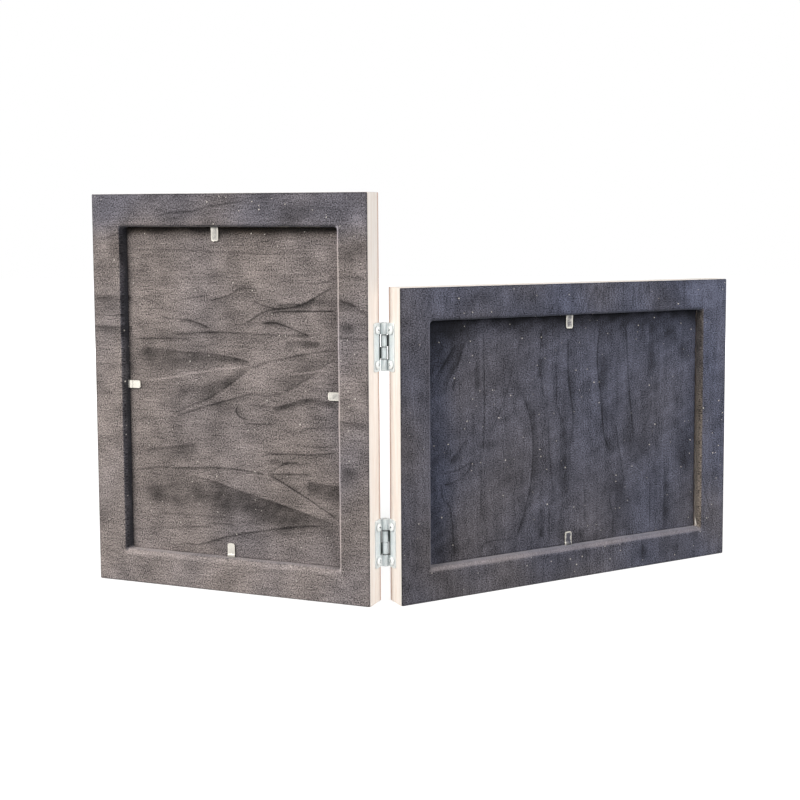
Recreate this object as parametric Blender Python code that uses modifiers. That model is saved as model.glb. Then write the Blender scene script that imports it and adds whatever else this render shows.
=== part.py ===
"""A double photo frame: two hinged wooden frames that stand like an open book.

Each frame is four mitred rails. Velvet covers their backs and goes down into the rebate, which
holds glass, a picture card and a back board with velvet on it. Small steel tabs, driven into the
rebate wall, bend down over the board and keep it in. Two butt hinges join the facing sides.

World axes: +Z is up, the pictures face -Y and the velvet backs face +Y. Lengths are in metres.
Frame axes: x runs along a frame from the hinge axis, y from its front to its back, z is up.
Side axes: x runs along one side of a frame, y to the back, z from its outer face inwards.
"""

import math
from typing import NamedTuple

import bmesh
import bpy
from mathutils import Matrix, Vector

# The picture, and how far the front lip covers its edge
PICTURE_WIDTH = 0.130
PICTURE_LENGTH = 0.180
PICTURE_COVER = 0.005

# Wooden rails
MOULDING_WIDTH = 0.025
FRAME_THICKNESS = 0.015
LIP_THICKNESS = 0.003
FRONT_ARRIS_RADIUS = 0.0012
SIGHT_BEVEL_WIDTH = 0.004
SIGHT_BEVEL_DEPTH = 0.001
MITRE_GAP = 0.0002

# Velvet on the rails, and the room round the picture, up to the velvet on the rebate wall
PICTURE_ROOM = 0.0018
VELVET_THICKNESS = 0.0007
VELVET_FOLD_RADIUS = 0.0011
VELVET_EDGE_RADIUS = 0.0003
VELVET_TUCK = 0.008
VELVET_INSET = 0.0002

# What lies in the rebate, from the glass to the back
GLASS_THICKNESS = 0.002
CARD_THICKNESS = 0.0003
BOARD_THICKNESS = 0.002
BOARD_VELVET_THICKNESS = 0.0005
REBATE_PLAY = 0.001
PANEL_EASE = 0.0002
GAP = 0.0003

# Bendable tabs
TAB_WIDTH = 0.005
TAB_THICKNESS = 0.0005
TAB_REACH = 0.0079
TAB_CORNER = 0.0009
TAB_BEND_OUT = 0.0006
TAB_ANCHOR_OUT = 0.00015
TAB_ROOT = 0.007
TAB_LIFT = 0.0004

# Corner V-nails
NAIL_ARM = 0.0045
NAIL_SHEET = 0.0005
NAIL_HEIGHT = 0.007
NAIL_FROM_SIDES = 0.010
NAIL_SINK = 0.0005

# Butt hinges
HINGE_HEIGHT = 0.026
HINGE_FROM_END = 0.032
LEAF_WIDTH = 0.0096
LEAF_THICKNESS = 0.001
PIN_RADIUS = 0.001
PIN_END = 0.0004
PIN_EDGE = 0.0003
RUNNING_GAP = 0.0001
KNUCKLE_GAP = 0.0003
AXIS_PROUD = 0.0002
KNUCKLES = 4

# Hinge screws
SCREW_SPACING = 0.0184
SCREW_FROM_AXIS = 0.006
SCREW_LENGTH = 0.0125
SCREW_TIP = 0.003
SHANK_RADIUS = 0.0012
HEAD_RADIUS = 0.0023
HEAD_EDGE = 0.0006
HEAD_DOME = 0.001
RECESS_WIDTH = 0.0006
RECESS_LENGTH = 0.0026
RECESS_DEPTH = 0.0008

# The angle between the two picture sides as the object stands
BOOK_ANGLE = math.radians(131)

# How far a cutter runs past what it cuts, and how round a full circle is
OVERRUN = 0.001
CIRCLE_STEPS = 24
ARC_STEPS = 4

# Sizes that follow from the ones above. The border runs from the outer side to the velvet on the wall
FRAME_WIDTH = PICTURE_WIDTH + 2 * (MOULDING_WIDTH - PICTURE_COVER)
FRAME_LENGTH = PICTURE_LENGTH + 2 * (MOULDING_WIDTH - PICTURE_COVER)
BACK_BORDER = MOULDING_WIDTH - PICTURE_COVER - PICTURE_ROOM
REBATE_WALL = BACK_BORDER - VELVET_THICKNESS - GAP
WOOD_BACK = FRAME_THICKNESS - VELVET_THICKNESS - GAP
GLASS_FRONT = LIP_THICKNESS + GAP
CARD_FRONT = GLASS_FRONT + GLASS_THICKNESS + GAP
BOARD_FRONT = CARD_FRONT + CARD_THICKNESS + GAP
BOARD_VELVET_FRONT = BOARD_FRONT + BOARD_THICKNESS + GAP
PANEL_BACK = BOARD_VELVET_FRONT + BOARD_VELVET_THICKNESS
TAB_MIDDLE = PANEL_BACK + TAB_LIFT + TAB_THICKNESS / 2
KNUCKLE_RADIUS = PIN_RADIUS + RUNNING_GAP + LEAF_THICKNESS
SIDE_FROM_AXIS = KNUCKLE_RADIUS + GAP
SCREW_SEAT = KNUCKLE_RADIUS - LEAF_THICKNESS - RUNNING_GAP


class Frame(NamedTuple):
    """One of the two frames: side is +1 on the +X side of the hinge axis and -1 on the other.

    tab_shares gives, for each side with a tab, where along that side the tab sits, as a share
    of its length from the hinge or from the bottom.
    """

    name: str
    side: int
    width: float
    height: float
    tab_shares: dict


PORTRAIT = Frame(
    "portrait",
    1,
    FRAME_WIDTH,
    FRAME_LENGTH,
    {"top": 0.5535, "bottom": 0.5106, "outer_side": 0.5127, "hinge_side": 0.506},
)
LANDSCAPE = Frame(
    "landscape",
    -1,
    FRAME_LENGTH,
    FRAME_WIDTH,
    {"top": 0.496, "bottom": 0.495},
)


def clear_scene():
    for item in list(bpy.data.objects):
        bpy.data.objects.remove(item, do_unlink=True)


def new_collection(name):
    group = bpy.data.collections.new(name)
    bpy.context.scene.collection.children.link(group)
    return group


def new_material(name, colour, roughness, metallic=0.0, alpha=1.0):
    material = bpy.data.materials.new(name)
    material.use_nodes = True
    shader = material.node_tree.nodes["Principled BSDF"]
    shader.inputs["Base Color"].default_value = (*colour, 1.0)
    shader.inputs["Roughness"].default_value = roughness
    shader.inputs["Metallic"].default_value = metallic
    shader.inputs["Alpha"].default_value = alpha
    return material


def new_empty(name, parent=None, location=(0, 0, 0), rotation=(0, 0, 0)):
    empty = bpy.data.objects.new(name, None)
    empty.empty_display_size = MOULDING_WIDTH
    PARTS.objects.link(empty)
    empty.parent = parent
    empty.location = location
    empty.rotation_euler = rotation
    return empty


def new_object(name, mesh, material, parent, location=(0, 0, 0), rotation=(0, 0, 0)):
    """Turns a bmesh into a placed object of the part."""
    data = bpy.data.meshes.new(name)
    mesh.to_mesh(data)
    mesh.free()
    item = bpy.data.objects.new(name, data)
    item.data.materials.append(material)
    PARTS.objects.link(item)
    item.parent = parent
    item.location = location
    item.rotation_euler = rotation
    return item


def new_cutter(name, mesh, parent, location=(0, 0, 0), rotation=(0, 0, 0)):
    """Turns a bmesh into a placed cutter, which no render shows."""
    item = new_object(name, mesh, CUTTER, parent, location, rotation)
    PARTS.objects.unlink(item)
    CUTTERS.objects.link(item)
    item.hide_render = True
    item.display_type = "WIRE"
    return item


def cut(target, cutter):
    modifier = target.modifiers.new(cutter.name, "BOOLEAN")
    modifier.operation = "DIFFERENCE"
    modifier.solver = "EXACT"
    modifier.object = cutter


def ease_edges(item, width):
    modifier = item.modifiers.new("eased edges", "BEVEL")
    modifier.width = width
    modifier.segments = 1


def shade_round(item):
    """Smooth shading that keeps the sharp edges of a turned or rolled piece."""
    item.data.shade_smooth()
    item.data.set_sharp_from_angle(angle=math.radians(35))


def box(size, centre=(0, 0, 0)):
    """A box of the given size along x, y and z, round the given centre."""
    mesh = bmesh.new()
    bmesh.ops.create_cube(mesh, size=1, matrix=Matrix.Translation(centre) @ Matrix.Diagonal((*size, 1)))
    return mesh


def rod(radius, length):
    """A cylinder along z, centred."""
    mesh = bmesh.new()
    bmesh.ops.create_cone(
        mesh, cap_ends=True, segments=CIRCLE_STEPS, radius1=radius, radius2=radius, depth=length
    )
    return mesh


def arc(centre, radius, start, end, steps=ARC_STEPS):
    """Points on a circle from one angle to another, in degrees, both ends included."""
    angles = [math.radians(start + (end - start) * step / steps) for step in range(steps + 1)]
    return [
        (centre[0] + radius * math.cos(angle), centre[1] + radius * math.sin(angle))
        for angle in angles
    ]


def prism(outline, length):
    """A flat outline in the xy plane, swept along z and centred on that plane."""
    mesh = bmesh.new()
    face = mesh.faces.new([mesh.verts.new((x, y, -length / 2)) for x, y in outline])
    swept = bmesh.ops.extrude_face_region(mesh, geom=[face])["geom"]
    ends = [item for item in swept if isinstance(item, bmesh.types.BMVert)]
    bmesh.ops.translate(mesh, vec=(0, 0, length), verts=ends)
    bmesh.ops.recalc_face_normals(mesh, faces=mesh.faces)
    return mesh


def turned(name, profile, material, parent, location=(0, 0, 0), rotation=(0, 0, 0)):
    """A profile of (radius, height) points, from top to bottom, turned once about z."""
    mesh = bmesh.new()
    points = [mesh.verts.new((radius, 0, height)) for radius, height in profile]
    for one, two in zip(points, points[1:]):
        mesh.edges.new((one, two))
    item = new_object(name, mesh, material, parent, location, rotation)
    screw = item.modifiers.new("turned", "SCREW")
    screw.steps = screw.render_steps = CIRCLE_STEPS
    screw.use_merge_vertices = True
    screw.merge_threshold = RUNNING_GAP / 10
    screw.use_smooth_shade = False
    return item


def rail_section():
    """The moulding across its width, as (y, z): front arris, sight bevel, lip, rebate and back."""
    radius = FRONT_ARRIS_RADIUS
    eased = VELVET_FOLD_RADIUS - VELVET_THICKNESS
    return [
        *arc((radius, radius), radius, 270, 180),
        (0, MOULDING_WIDTH - SIGHT_BEVEL_WIDTH),
        (SIGHT_BEVEL_DEPTH, MOULDING_WIDTH),
        (LIP_THICKNESS, MOULDING_WIDTH),
        (LIP_THICKNESS, REBATE_WALL),
        *arc((WOOD_BACK - eased, REBATE_WALL - eased), eased, 90, 0),
        (WOOD_BACK, 0),
    ]


def rail_mesh(length):
    """A rail along x: the section swept along it, its ends sheared to 45 degrees for the mitres."""
    mesh = prism(rail_section(), length)
    along_x = Matrix(((0, 0, 1, 0), (1, 0, 0, 0), (0, 1, 0, 0), (0, 0, 0, 1)))
    bmesh.ops.transform(mesh, matrix=along_x, verts=mesh.verts)
    gap_along = MITRE_GAP / math.sqrt(2)
    for vert in mesh.verts:
        vert.co.x -= math.copysign(vert.co.z + gap_along, vert.co.x)
    return mesh


def velvet_section():
    """The border's velvet, as (z, y): over the back of a rail, round the fold and down the wall."""
    fold = VELVET_FOLD_RADIUS
    inner = fold - VELVET_THICKNESS
    edge = VELVET_EDGE_RADIUS
    back, under = FRAME_THICKNESS, FRAME_THICKNESS - VELVET_THICKNESS
    wall = BACK_BORDER - VELVET_THICKNESS
    return [
        (VELVET_INSET, under),
        *arc((VELVET_INSET + edge, back - edge), edge, 180, 90),
        *arc((BACK_BORDER - fold, back - fold), fold, 90, 0),
        (BACK_BORDER, back - VELVET_TUCK),
        (wall, back - VELVET_TUCK),
        *arc((wall - inner, under - inner), inner, 0, 90),
    ]


def ring_mesh(section, width, height):
    """A section swept round a rectangle with mitred corners, centred in x and z.

    A point (inset, depth) of the section runs round the rectangle that lies inset inside it.
    """
    mesh = bmesh.new()
    turns = ((-1, -1), (1, -1), (1, 1), (-1, 1))
    loops = [
        [mesh.verts.new((i * (width / 2 - inset), depth, j * (height / 2 - inset))) for i, j in turns]
        for inset, depth in section
    ]
    for one, two in zip(loops, loops[1:] + loops[:1]):
        for corner in range(len(turns)):
            mesh.faces.new((one[corner - 1], one[corner], two[corner], two[corner - 1]))
    bmesh.ops.recalc_face_normals(mesh, faces=mesh.faces)
    return mesh


def nail_outline(arm, half):
    """A right-angled V: the apex at the centre, its arms towards -x and -y, half its sheet thick."""
    return [(half, half), (half, -arm), (-half, -arm), (-half, -half), (-arm, -half), (-arm, half)]


def add_nail(name, place, length, rails):
    """A V-nail across the mitre at a side's -x end, and its pocket in both rails."""
    middle = WOOD_BACK - NAIL_SINK - NAIL_HEIGHT / 2
    from_middle = NAIL_FROM_SIDES - length / 2
    stance = {"parent": place, "rotation": (math.radians(90), 0, 0)}
    outline = nail_outline(NAIL_ARM, NAIL_SHEET / 2)
    location = (from_middle, middle, NAIL_FROM_SIDES)
    new_object(name, prism(outline, NAIL_HEIGHT), STEEL, location=location, **stance)
    pocket = nail_outline(NAIL_ARM + GAP, NAIL_SHEET / 2 + GAP)
    bottom = middle - NAIL_HEIGHT / 2 - GAP
    depth = WOOD_BACK + OVERRUN - bottom
    location = (from_middle, bottom + depth / 2, NAIL_FROM_SIDES)
    cutter = new_cutter(f"{name}_pocket", prism(pocket, depth), location=location, **stance)
    for rail in rails:
        cut(rail, cutter)


def tab_outline():
    """A blade along +x from its bend, with its two outer corners clipped."""
    length, half = TAB_REACH - TAB_BEND_OUT, TAB_WIDTH / 2
    return [
        (0, -half),
        (length - TAB_CORNER, -half),
        (length, TAB_CORNER - half),
        (length, half - TAB_CORNER),
        (length - TAB_CORNER, half),
        (0, half),
    ]


def add_tab(frame, side_name, place, along, rail, velvet):
    """A steel tab: its anchor in the rail, its blade over the board, and the slot it is driven in."""
    name = f"{frame.name}_tab_{side_name}"
    root = REBATE_WALL - TAB_ROOT
    end = BACK_BORDER + TAB_ANCHOR_OUT
    size = (TAB_WIDTH, TAB_THICKNESS, end - root)
    new_object(f"{name}_anchor", box(size), TAB_STEEL, place, (along, TAB_MIDDLE, (root + end) / 2))
    blade_turn = (math.radians(90), math.radians(-90), 0)
    bend = (along, TAB_MIDDLE, BACK_BORDER + TAB_BEND_OUT)
    new_object(name, prism(tab_outline(), TAB_THICKNESS), TAB_STEEL, place, bend, blade_turn)
    slot_end = BACK_BORDER + OVERRUN
    slot = (TAB_WIDTH + 2 * GAP, TAB_THICKNESS + 2 * GAP, slot_end - root + GAP)
    middle = (along, TAB_MIDDLE, (slot_end + root - GAP) / 2)
    cutter = new_cutter(f"{name}_slot", box(slot), place, middle)
    cut(rail, cutter)
    cut(velvet, cutter)


def add_panels(frame, holder):
    """Glass, picture card, back board and the board's velvet, one behind the other."""
    inside = 2 * (BACK_BORDER + REBATE_PLAY)
    upright = frame.height > frame.width
    card = (PICTURE_WIDTH, PICTURE_LENGTH) if upright else (PICTURE_LENGTH, PICTURE_WIDTH)
    full = (frame.width - inside, frame.height - inside)
    panels = (
        ("glass", full, GLASS_FRONT, GLASS_THICKNESS, GLASS),
        ("picture_card", card, CARD_FRONT, CARD_THICKNESS, CARD),
        ("back_board", full, BOARD_FRONT, BOARD_THICKNESS, BOARD),
        ("board_velvet", full, BOARD_VELVET_FRONT, BOARD_VELVET_THICKNESS, VELVET),
    )
    for name, (width, height), front, thickness, material in panels:
        centre = (0, front + thickness / 2, frame.height / 2)
        size = (width, thickness, height)
        item = new_object(f"{frame.name}_{name}", box(size), material, holder, centre)
        if thickness > 2 * PANEL_EASE:
            ease_edges(item, PANEL_EASE)


def add_sides(frame, holder, velvet):
    """Four rails with their V-nails and tabs. Returns the rail that the hinges are screwed to.

    Each side has a place: its name, its middle as (x, z), its turn about the frame's y axis, its
    length, and whether its own x runs with the frame's x or z, or against it.
    """
    low_x, high_x = ("hinge_side", "outer_side")[:: frame.side]
    sides = (
        ("bottom", (0, 0), 0, frame.width, 1),
        (low_x, (-frame.width / 2, frame.height / 2), 90, frame.height, -1),
        ("top", (0, frame.height), 180, frame.width, -1),
        (high_x, (frame.width / 2, frame.height / 2), 270, frame.height, 1),
    )
    places, rails = {}, {}
    for name, (x, z), turn, length, _ in sides:
        rotation = (0, math.radians(turn), 0)
        places[name] = new_empty(f"{frame.name}_{name}_place", holder, (x, 0, z), rotation)
        rail_name = f"{frame.name}_rail_{name}"
        rails[name] = new_object(rail_name, rail_mesh(length), WOOD, places[name])
    for index, (name, _, _, length, runs) in enumerate(sides):
        neighbour = sides[(index + 1) % len(sides)][0]
        nail_name = f"{frame.name}_nail_{name}_{neighbour}"
        add_nail(nail_name, places[name], length, (rails[name], rails[neighbour]))
        if name in frame.tab_shares:
            from_middle = (frame.tab_shares[name] - 1 / 2) * length
            away = frame.side if name in ("top", "bottom") else 1
            add_tab(frame, name, places[name], from_middle * away * runs, rails[name], velvet)
    return rails["hinge_side"]


def leaf_outline(side):
    """A hinge leaf from above: the rolled knuckle round the axis, and the plate along +y."""
    inner = KNUCKLE_RADIUS - LEAF_THICKNESS
    meets = math.degrees(math.acos(inner / KNUCKLE_RADIUS))
    rolled = arc((0, 0), KNUCKLE_RADIUS, 0, meets - 360, CIRCLE_STEPS)
    outline = [(inner, LEAF_WIDTH), (KNUCKLE_RADIUS, LEAF_WIDTH), *rolled]
    return [(side * x, y) for x, y in outline]


def add_leaf(frame, name, holder, centre_z):
    """A hinge leaf on a frame's side, notched where the other leaf's knuckles turn."""
    leaf = new_object(name, prism(leaf_outline(frame.side), HINGE_HEIGHT), ZINC, holder, (0, 0, centre_z))
    bore = new_cutter(f"{name}_bore", rod(PIN_RADIUS + RUNNING_GAP, HINGE_HEIGHT + OVERRUN), leaf)
    cut(leaf, bore)
    pitch = HINGE_HEIGHT / KNUCKLES
    reach = KNUCKLE_RADIUS + OVERRUN
    depth = reach + KNUCKLE_RADIUS + GAP
    for index in range(KNUCKLES):
        own = (index % 2 == 0) == (frame.side > 0)
        if own:
            continue
        top = HINGE_HEIGHT / 2 - index * pitch
        high = top + (OVERRUN if index == 0 else KNUCKLE_GAP / 2)
        low = top - pitch - (OVERRUN if index == KNUCKLES - 1 else KNUCKLE_GAP / 2)
        centre = (0, depth / 2 - reach, (high + low) / 2)
        notch = new_cutter(f"{name}_notch_{index}", box((2 * reach, depth, high - low)), leaf, centre)
        cut(leaf, notch)
    shade_round(leaf)
    return leaf


def add_screw(frame, name, holder, height, leaf, rail):
    """A pan-head wood screw through a leaf, its hole in the leaf and its pilot hole in the rail."""
    tilt = (0, math.radians(-90 * frame.side), 0)
    seat = (frame.side * SCREW_SEAT, SCREW_FROM_AXIS, height)
    steps = range(ARC_STEPS + 1)
    dome = [math.radians(90 - 90 * step / ARC_STEPS) for step in steps]
    profile = [
        *((HEAD_RADIUS * math.cos(a), HEAD_EDGE + HEAD_DOME * math.sin(a)) for a in dome),
        (HEAD_RADIUS, 0),
        (SHANK_RADIUS, 0),
        (SHANK_RADIUS, SCREW_TIP - SCREW_LENGTH),
        (0, -SCREW_LENGTH),
    ]
    screw = turned(name, profile, ZINC, holder, seat, tilt)
    top = HEAD_EDGE + HEAD_DOME
    for index, size in enumerate(((RECESS_WIDTH, RECESS_LENGTH), (RECESS_LENGTH, RECESS_WIDTH))):
        slot = box((*size, RECESS_DEPTH + OVERRUN), (0, 0, top + (OVERRUN - RECESS_DEPTH) / 2))
        cut(screw, new_cutter(f"{name}_recess_{index}", slot, screw))
    through = SCREW_LENGTH + GAP + OVERRUN
    hole = new_cutter(
        f"{name}_hole", rod(SHANK_RADIUS + GAP, through), screw, (0, 0, OVERRUN - through / 2)
    )
    cut(leaf, hole)
    cut(rail, hole)


def pin_profile():
    """A hinge pin with its two ends rounded off, from top to bottom."""
    end = HINGE_HEIGHT / 2 + PIN_END
    rounded = PIN_RADIUS - PIN_EDGE
    return [
        (0, end),
        (rounded, end),
        (PIN_RADIUS, end - PIN_EDGE),
        (PIN_RADIUS, PIN_EDGE - end),
        (rounded, -end),
        (0, -end),
    ]


def add_frame(frame, axis):
    """One frame in its place at the hinge axis. Returns its empty and its hinge-side rail."""
    turn = -frame.side * (math.pi - BOOK_ANGLE) / 2
    turning = new_empty(f"{frame.name}_frame", axis, rotation=(0, 0, turn))
    middle = frame.side * (SIDE_FROM_AXIS + frame.width / 2)
    holder = new_empty(f"{frame.name}_middle", turning, (middle, AXIS_PROUD, 0))
    velvet_mesh = ring_mesh(velvet_section(), frame.width, frame.height)
    raised = (0, 0, frame.height / 2)
    velvet = new_object(f"{frame.name}_border_velvet", velvet_mesh, VELVET, holder, raised)
    rail = add_sides(frame, holder, velvet)
    add_panels(frame, holder)
    return turning, rail


def add_hinges(placed):
    """Two butt hinges: a leaf on each frame, the pin that joins them and two screws a leaf."""
    lower = HINGE_FROM_END
    upper = min(PORTRAIT.height, LANDSCAPE.height) - HINGE_FROM_END
    for hinge, height in (("upper", upper), ("lower", lower)):
        pin_holder = placed[PORTRAIT.name][0]
        turned(f"hinge_{hinge}_pin", pin_profile(), ZINC, pin_holder, (0, 0, height))
        for frame in (PORTRAIT, LANDSCAPE):
            holder, rail = placed[frame.name]
            leaf = add_leaf(frame, f"hinge_{hinge}_leaf_{frame.name}", holder, height)
            for place, away in (("top", 1), ("bottom", -1)):
                name = f"hinge_{hinge}_screw_{frame.name}_{place}"
                add_screw(frame, name, holder, height + away * SCREW_SPACING / 2, leaf, rail)


def centre_on_origin(axis):
    """Moves the hinge axis so that the box of the rails and their velvet stands centred on the origin."""
    bpy.context.view_layer.update()
    outermost = [item for item in PARTS.objects if "_rail_" in item.name or "_border_" in item.name]
    corners = [item.matrix_world @ vert.co for item in outermost for vert in item.data.vertices]
    for way in range(2):
        places = [corner[way] for corner in corners]
        axis.location[way] = -(min(places) + max(places)) / 2
    bpy.context.view_layer.update()


clear_scene()
PARTS = new_collection("double_photo_frame")
CUTTERS = new_collection("cutters")
WOOD = new_material("bare pale wood", (0.86, 0.74, 0.58), 0.6)
VELVET = new_material("dark grey velvet", (0.13, 0.115, 0.12), 0.95)
GLASS = new_material("clear glass", (0.9, 0.95, 0.93), 0.05, alpha=0.35)
CARD = new_material("bare picture card", (0.86, 0.85, 0.82), 0.8)
BOARD = new_material("brown hardboard", (0.36, 0.22, 0.12), 0.8)
ZINC = new_material("zinc-plated steel", (0.78, 0.79, 0.8), 0.35, 1.0)
TAB_STEEL = new_material("bright tab steel", (0.8, 0.78, 0.72), 0.3, 1.0)
STEEL = new_material("plain nail steel", (0.5, 0.5, 0.5), 0.45, 1.0)
CUTTER = new_material("cutter", (0.8, 0.2, 0.1), 0.5)

hinge_axis = new_empty("hinge_axis")
add_hinges({frame.name: add_frame(frame, hinge_axis) for frame in (PORTRAIT, LANDSCAPE)})
centre_on_origin(hinge_axis)
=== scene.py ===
# %% [markdown]
# # A double photo frame, seen from its velvet backs
# Two wooden frames, one upright and one lying, stand like an open book on two small zinc hinges.
# Their backs are covered with dark velvet, and bent steel tabs hold a velvet board in each.
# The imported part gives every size, place and joint. This file gives the looks: it builds finer
# pieces where a plain solid would show, and a finish made of shader nodes for each surface.

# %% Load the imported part
import math
from typing import NamedTuple

import bpy
import numpy as np
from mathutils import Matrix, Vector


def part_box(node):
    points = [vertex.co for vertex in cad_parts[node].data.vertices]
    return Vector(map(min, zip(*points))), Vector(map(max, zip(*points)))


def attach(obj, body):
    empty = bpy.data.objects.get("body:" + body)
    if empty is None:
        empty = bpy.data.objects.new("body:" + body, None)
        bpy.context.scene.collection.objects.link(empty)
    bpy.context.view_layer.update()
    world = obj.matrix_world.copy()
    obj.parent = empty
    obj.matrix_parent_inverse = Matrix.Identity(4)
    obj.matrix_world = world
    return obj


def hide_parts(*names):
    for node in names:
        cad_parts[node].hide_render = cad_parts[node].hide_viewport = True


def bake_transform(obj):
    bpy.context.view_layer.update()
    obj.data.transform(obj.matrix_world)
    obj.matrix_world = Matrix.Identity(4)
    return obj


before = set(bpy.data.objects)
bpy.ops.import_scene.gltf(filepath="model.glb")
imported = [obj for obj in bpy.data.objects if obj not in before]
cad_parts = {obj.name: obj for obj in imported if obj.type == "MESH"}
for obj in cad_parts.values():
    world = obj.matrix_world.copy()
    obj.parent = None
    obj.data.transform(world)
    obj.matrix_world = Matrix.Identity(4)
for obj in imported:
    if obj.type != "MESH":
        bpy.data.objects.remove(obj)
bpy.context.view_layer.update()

# %% [markdown]
# ## Sizes
# A joiner works from a few sizes: the width of the moulding, how deep the rebate is, how far the
# velvet goes down into it. The same sizes drive the pieces here, in metres. A depth is measured
# from the picture side to the back, and an inset from a frame's outer side towards its opening.

# %% Sizes of the frames and what lies in them
FRAME_THICKNESS = 0.015
MOULDING_WIDTH = 0.025
LIP_THICKNESS = 0.003
FRONT_ARRIS = 0.0012
SIGHT_BEVEL_WIDTH = 0.004
SIGHT_BEVEL_DEPTH = 0.001
VELVET_THICKNESS = 0.0007
BORDER = 0.0182
PANEL_BACK = 0.009
SIDE_FROM_AXIS = 0.0024
AXIS_PROUD = 0.0002
BOOK_ANGLE = math.radians(131)
TURN = (math.pi - BOOK_ANGLE) / 2
MM = 1000.0


class Frame(NamedTuple):
    """One of the two frames. side is +1 on the +X side of the hinge axis and -1 on the other."""

    name: str
    side: int
    width: float
    height: float


PORTRAIT = Frame("portrait", 1, 0.170, 0.220)
LANDSCAPE = Frame("landscape", -1, 0.220, 0.170)
FRAMES = (PORTRAIT, LANDSCAPE)
BODY = {made: f"{made.name}_frame" for made in FRAMES}
PIN_LOW, PIN_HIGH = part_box("hinge_upper_pin")
HINGE_AXIS = tuple((PIN_LOW + PIN_HIGH) / 2)[:2]
print("the hinge axis stands at", HINGE_AXIS)

# %% [markdown]
# ## From a frame's own axes to the table
# Each frame is easiest to describe lying square in front of us: across from the hinge side, in
# depth, and up. One function turns those numbers to where the frame stands, about the hinge axis.
# It takes whole numpy arrays, so a grid of any size is placed at once.

# %% Place points of a frame


def from_axis(made, beside, behind, up):
    """World points of a frame from distances beside and behind the hinge axis, and above the table.

    Beside and behind are turned about the axis by the frame's share of the book's opening.
    """
    beside, behind, up = np.broadcast_arrays(beside, behind, up)
    turn = -made.side * TURN
    x = made.side * beside
    return np.stack(
        (
            HINGE_AXIS[0] + x * math.cos(turn) - behind * math.sin(turn),
            HINGE_AXIS[1] + x * math.sin(turn) + behind * math.cos(turn),
            up,
        ),
        axis=-1,
    )


def place(made, across, depth, up):
    """World points from distances across from the hinge side, in depth from the front, and up."""
    return from_axis(made, SIDE_FROM_AXIS + across, AXIS_PROUD + depth, up)


def from_left(made, across):
    """How far a point is from the frame's left edge as seen from behind."""
    return made.width - across if made.side > 0 else across


# %% [markdown]
# ## Camera
# The picture was taken from a little above the table, almost level, with the hinge left of the
# middle. The lens and its shift keep both frames' uprights as they lean in the photograph.

# %% Camera
CAMERA_PLACE = (0.026691, 0.709298, 0.203892)
CAMERA_TILT = math.radians(85.596)
CAMERA_HEADING = math.radians(174.694)
FILM_WIDTH = 36
LENS = 56.503
LENS_SHIFT = (-0.11597, -0.10047)

camera = bpy.data.objects.new("camera", bpy.data.cameras.new("camera"))
camera.data.sensor_width = FILM_WIDTH
camera.data.lens = LENS
camera.data.shift_x, camera.data.shift_y = LENS_SHIFT
camera.data.clip_start = 0.01
camera.location = CAMERA_PLACE
camera.rotation_euler = (CAMERA_TILT, 0, CAMERA_HEADING)
bpy.context.scene.collection.objects.link(camera)
bpy.context.scene.camera = camera
print("camera with a", LENS, "mm lens")

# %% [markdown]
# ## A small kit for shader nodes
# Every finish below is a tree of nodes. A few helpers keep such a tree short to write: they add a
# node, fill its sockets with values or with the outputs of other nodes, and do sums.

# %% Helpers for node trees


def colour(red, green, blue):
    """A colour picked on screen, 0 to 255, as the linear values that a shader works with."""
    part = np.array((red, green, blue)) / 255
    linear = np.where(part <= 0.04045, part / 12.92, ((part + 0.055) / 1.055) ** 2.4)
    return (*(float(value) for value in linear), 1.0)


def fill(tree, node, inputs):
    """Fills sockets. inputs maps a name or number to a value or to another node's output."""
    for key, value in inputs.items():
        if isinstance(value, bpy.types.NodeSocket):
            tree.links.new(value, node.inputs[key])
        else:
            node.inputs[key].default_value = value


def add(tree, kind, inputs=None, **settings):
    """A new node, with its settings made and its sockets filled."""
    node = tree.nodes.new(kind)
    for name, value in settings.items():
        setattr(node, name, value)
    fill(tree, node, inputs or {})
    return node


def sum_of(tree, operation, one, two=0.0, three=0.0, clamp=False):
    """The output of a Math node."""
    inputs = {0: one, 1: two, 2: three}
    return add(tree, "ShaderNodeMath", inputs, operation=operation, use_clamp=clamp).outputs[0]


def times(tree, one, two, clamp=False):
    """One value times another."""
    return sum_of(tree, "MULTIPLY", one, two, clamp=clamp)


def attribute(tree, name):
    """A number that each point of the piece carries."""
    return add(tree, "ShaderNodeAttribute", None, attribute_name=name).outputs["Fac"]


def in_piece(tree):
    """Coordinates in the piece's own metres."""
    return add(tree, "ShaderNodeTexCoord").outputs["Object"]


def in_mm(tree, uv_map):
    """The cloth's or the grain's own coordinates, in millimetres."""
    along = add(tree, "ShaderNodeUVMap", None, uv_map=uv_map).outputs[0]
    return stretched(tree, along, (MM, MM, 1))


def bumped(tree, height, strength, distance):
    """A normal tilted as if the height stood out by up to the distance, in metres."""
    inputs = {"Strength": strength, "Distance": distance, "Height": height}
    return add(tree, "ShaderNodeBump", inputs).outputs[0]


def mixed(tree, factor, one, two):
    """The output of a Mix node for colours."""
    return add(tree, "ShaderNodeMix", {"Factor": factor, 6: one, 7: two}, data_type="RGBA").outputs[2]


def ramp(tree, value, low, high, to_low=0.0, to_high=1.0):
    """A value rescaled smoothly from one range to another."""
    inputs = {"Value": value, 1: low, 2: high, 3: to_low, 4: to_high}
    return add(tree, "ShaderNodeMapRange", inputs, interpolation_type="SMOOTHSTEP").outputs[0]


def stretched(tree, vector, scale):
    """A vector with each of its axes scaled on its own."""
    return add(tree, "ShaderNodeMapping", {"Vector": vector, "Scale": scale}).outputs[0]


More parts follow.
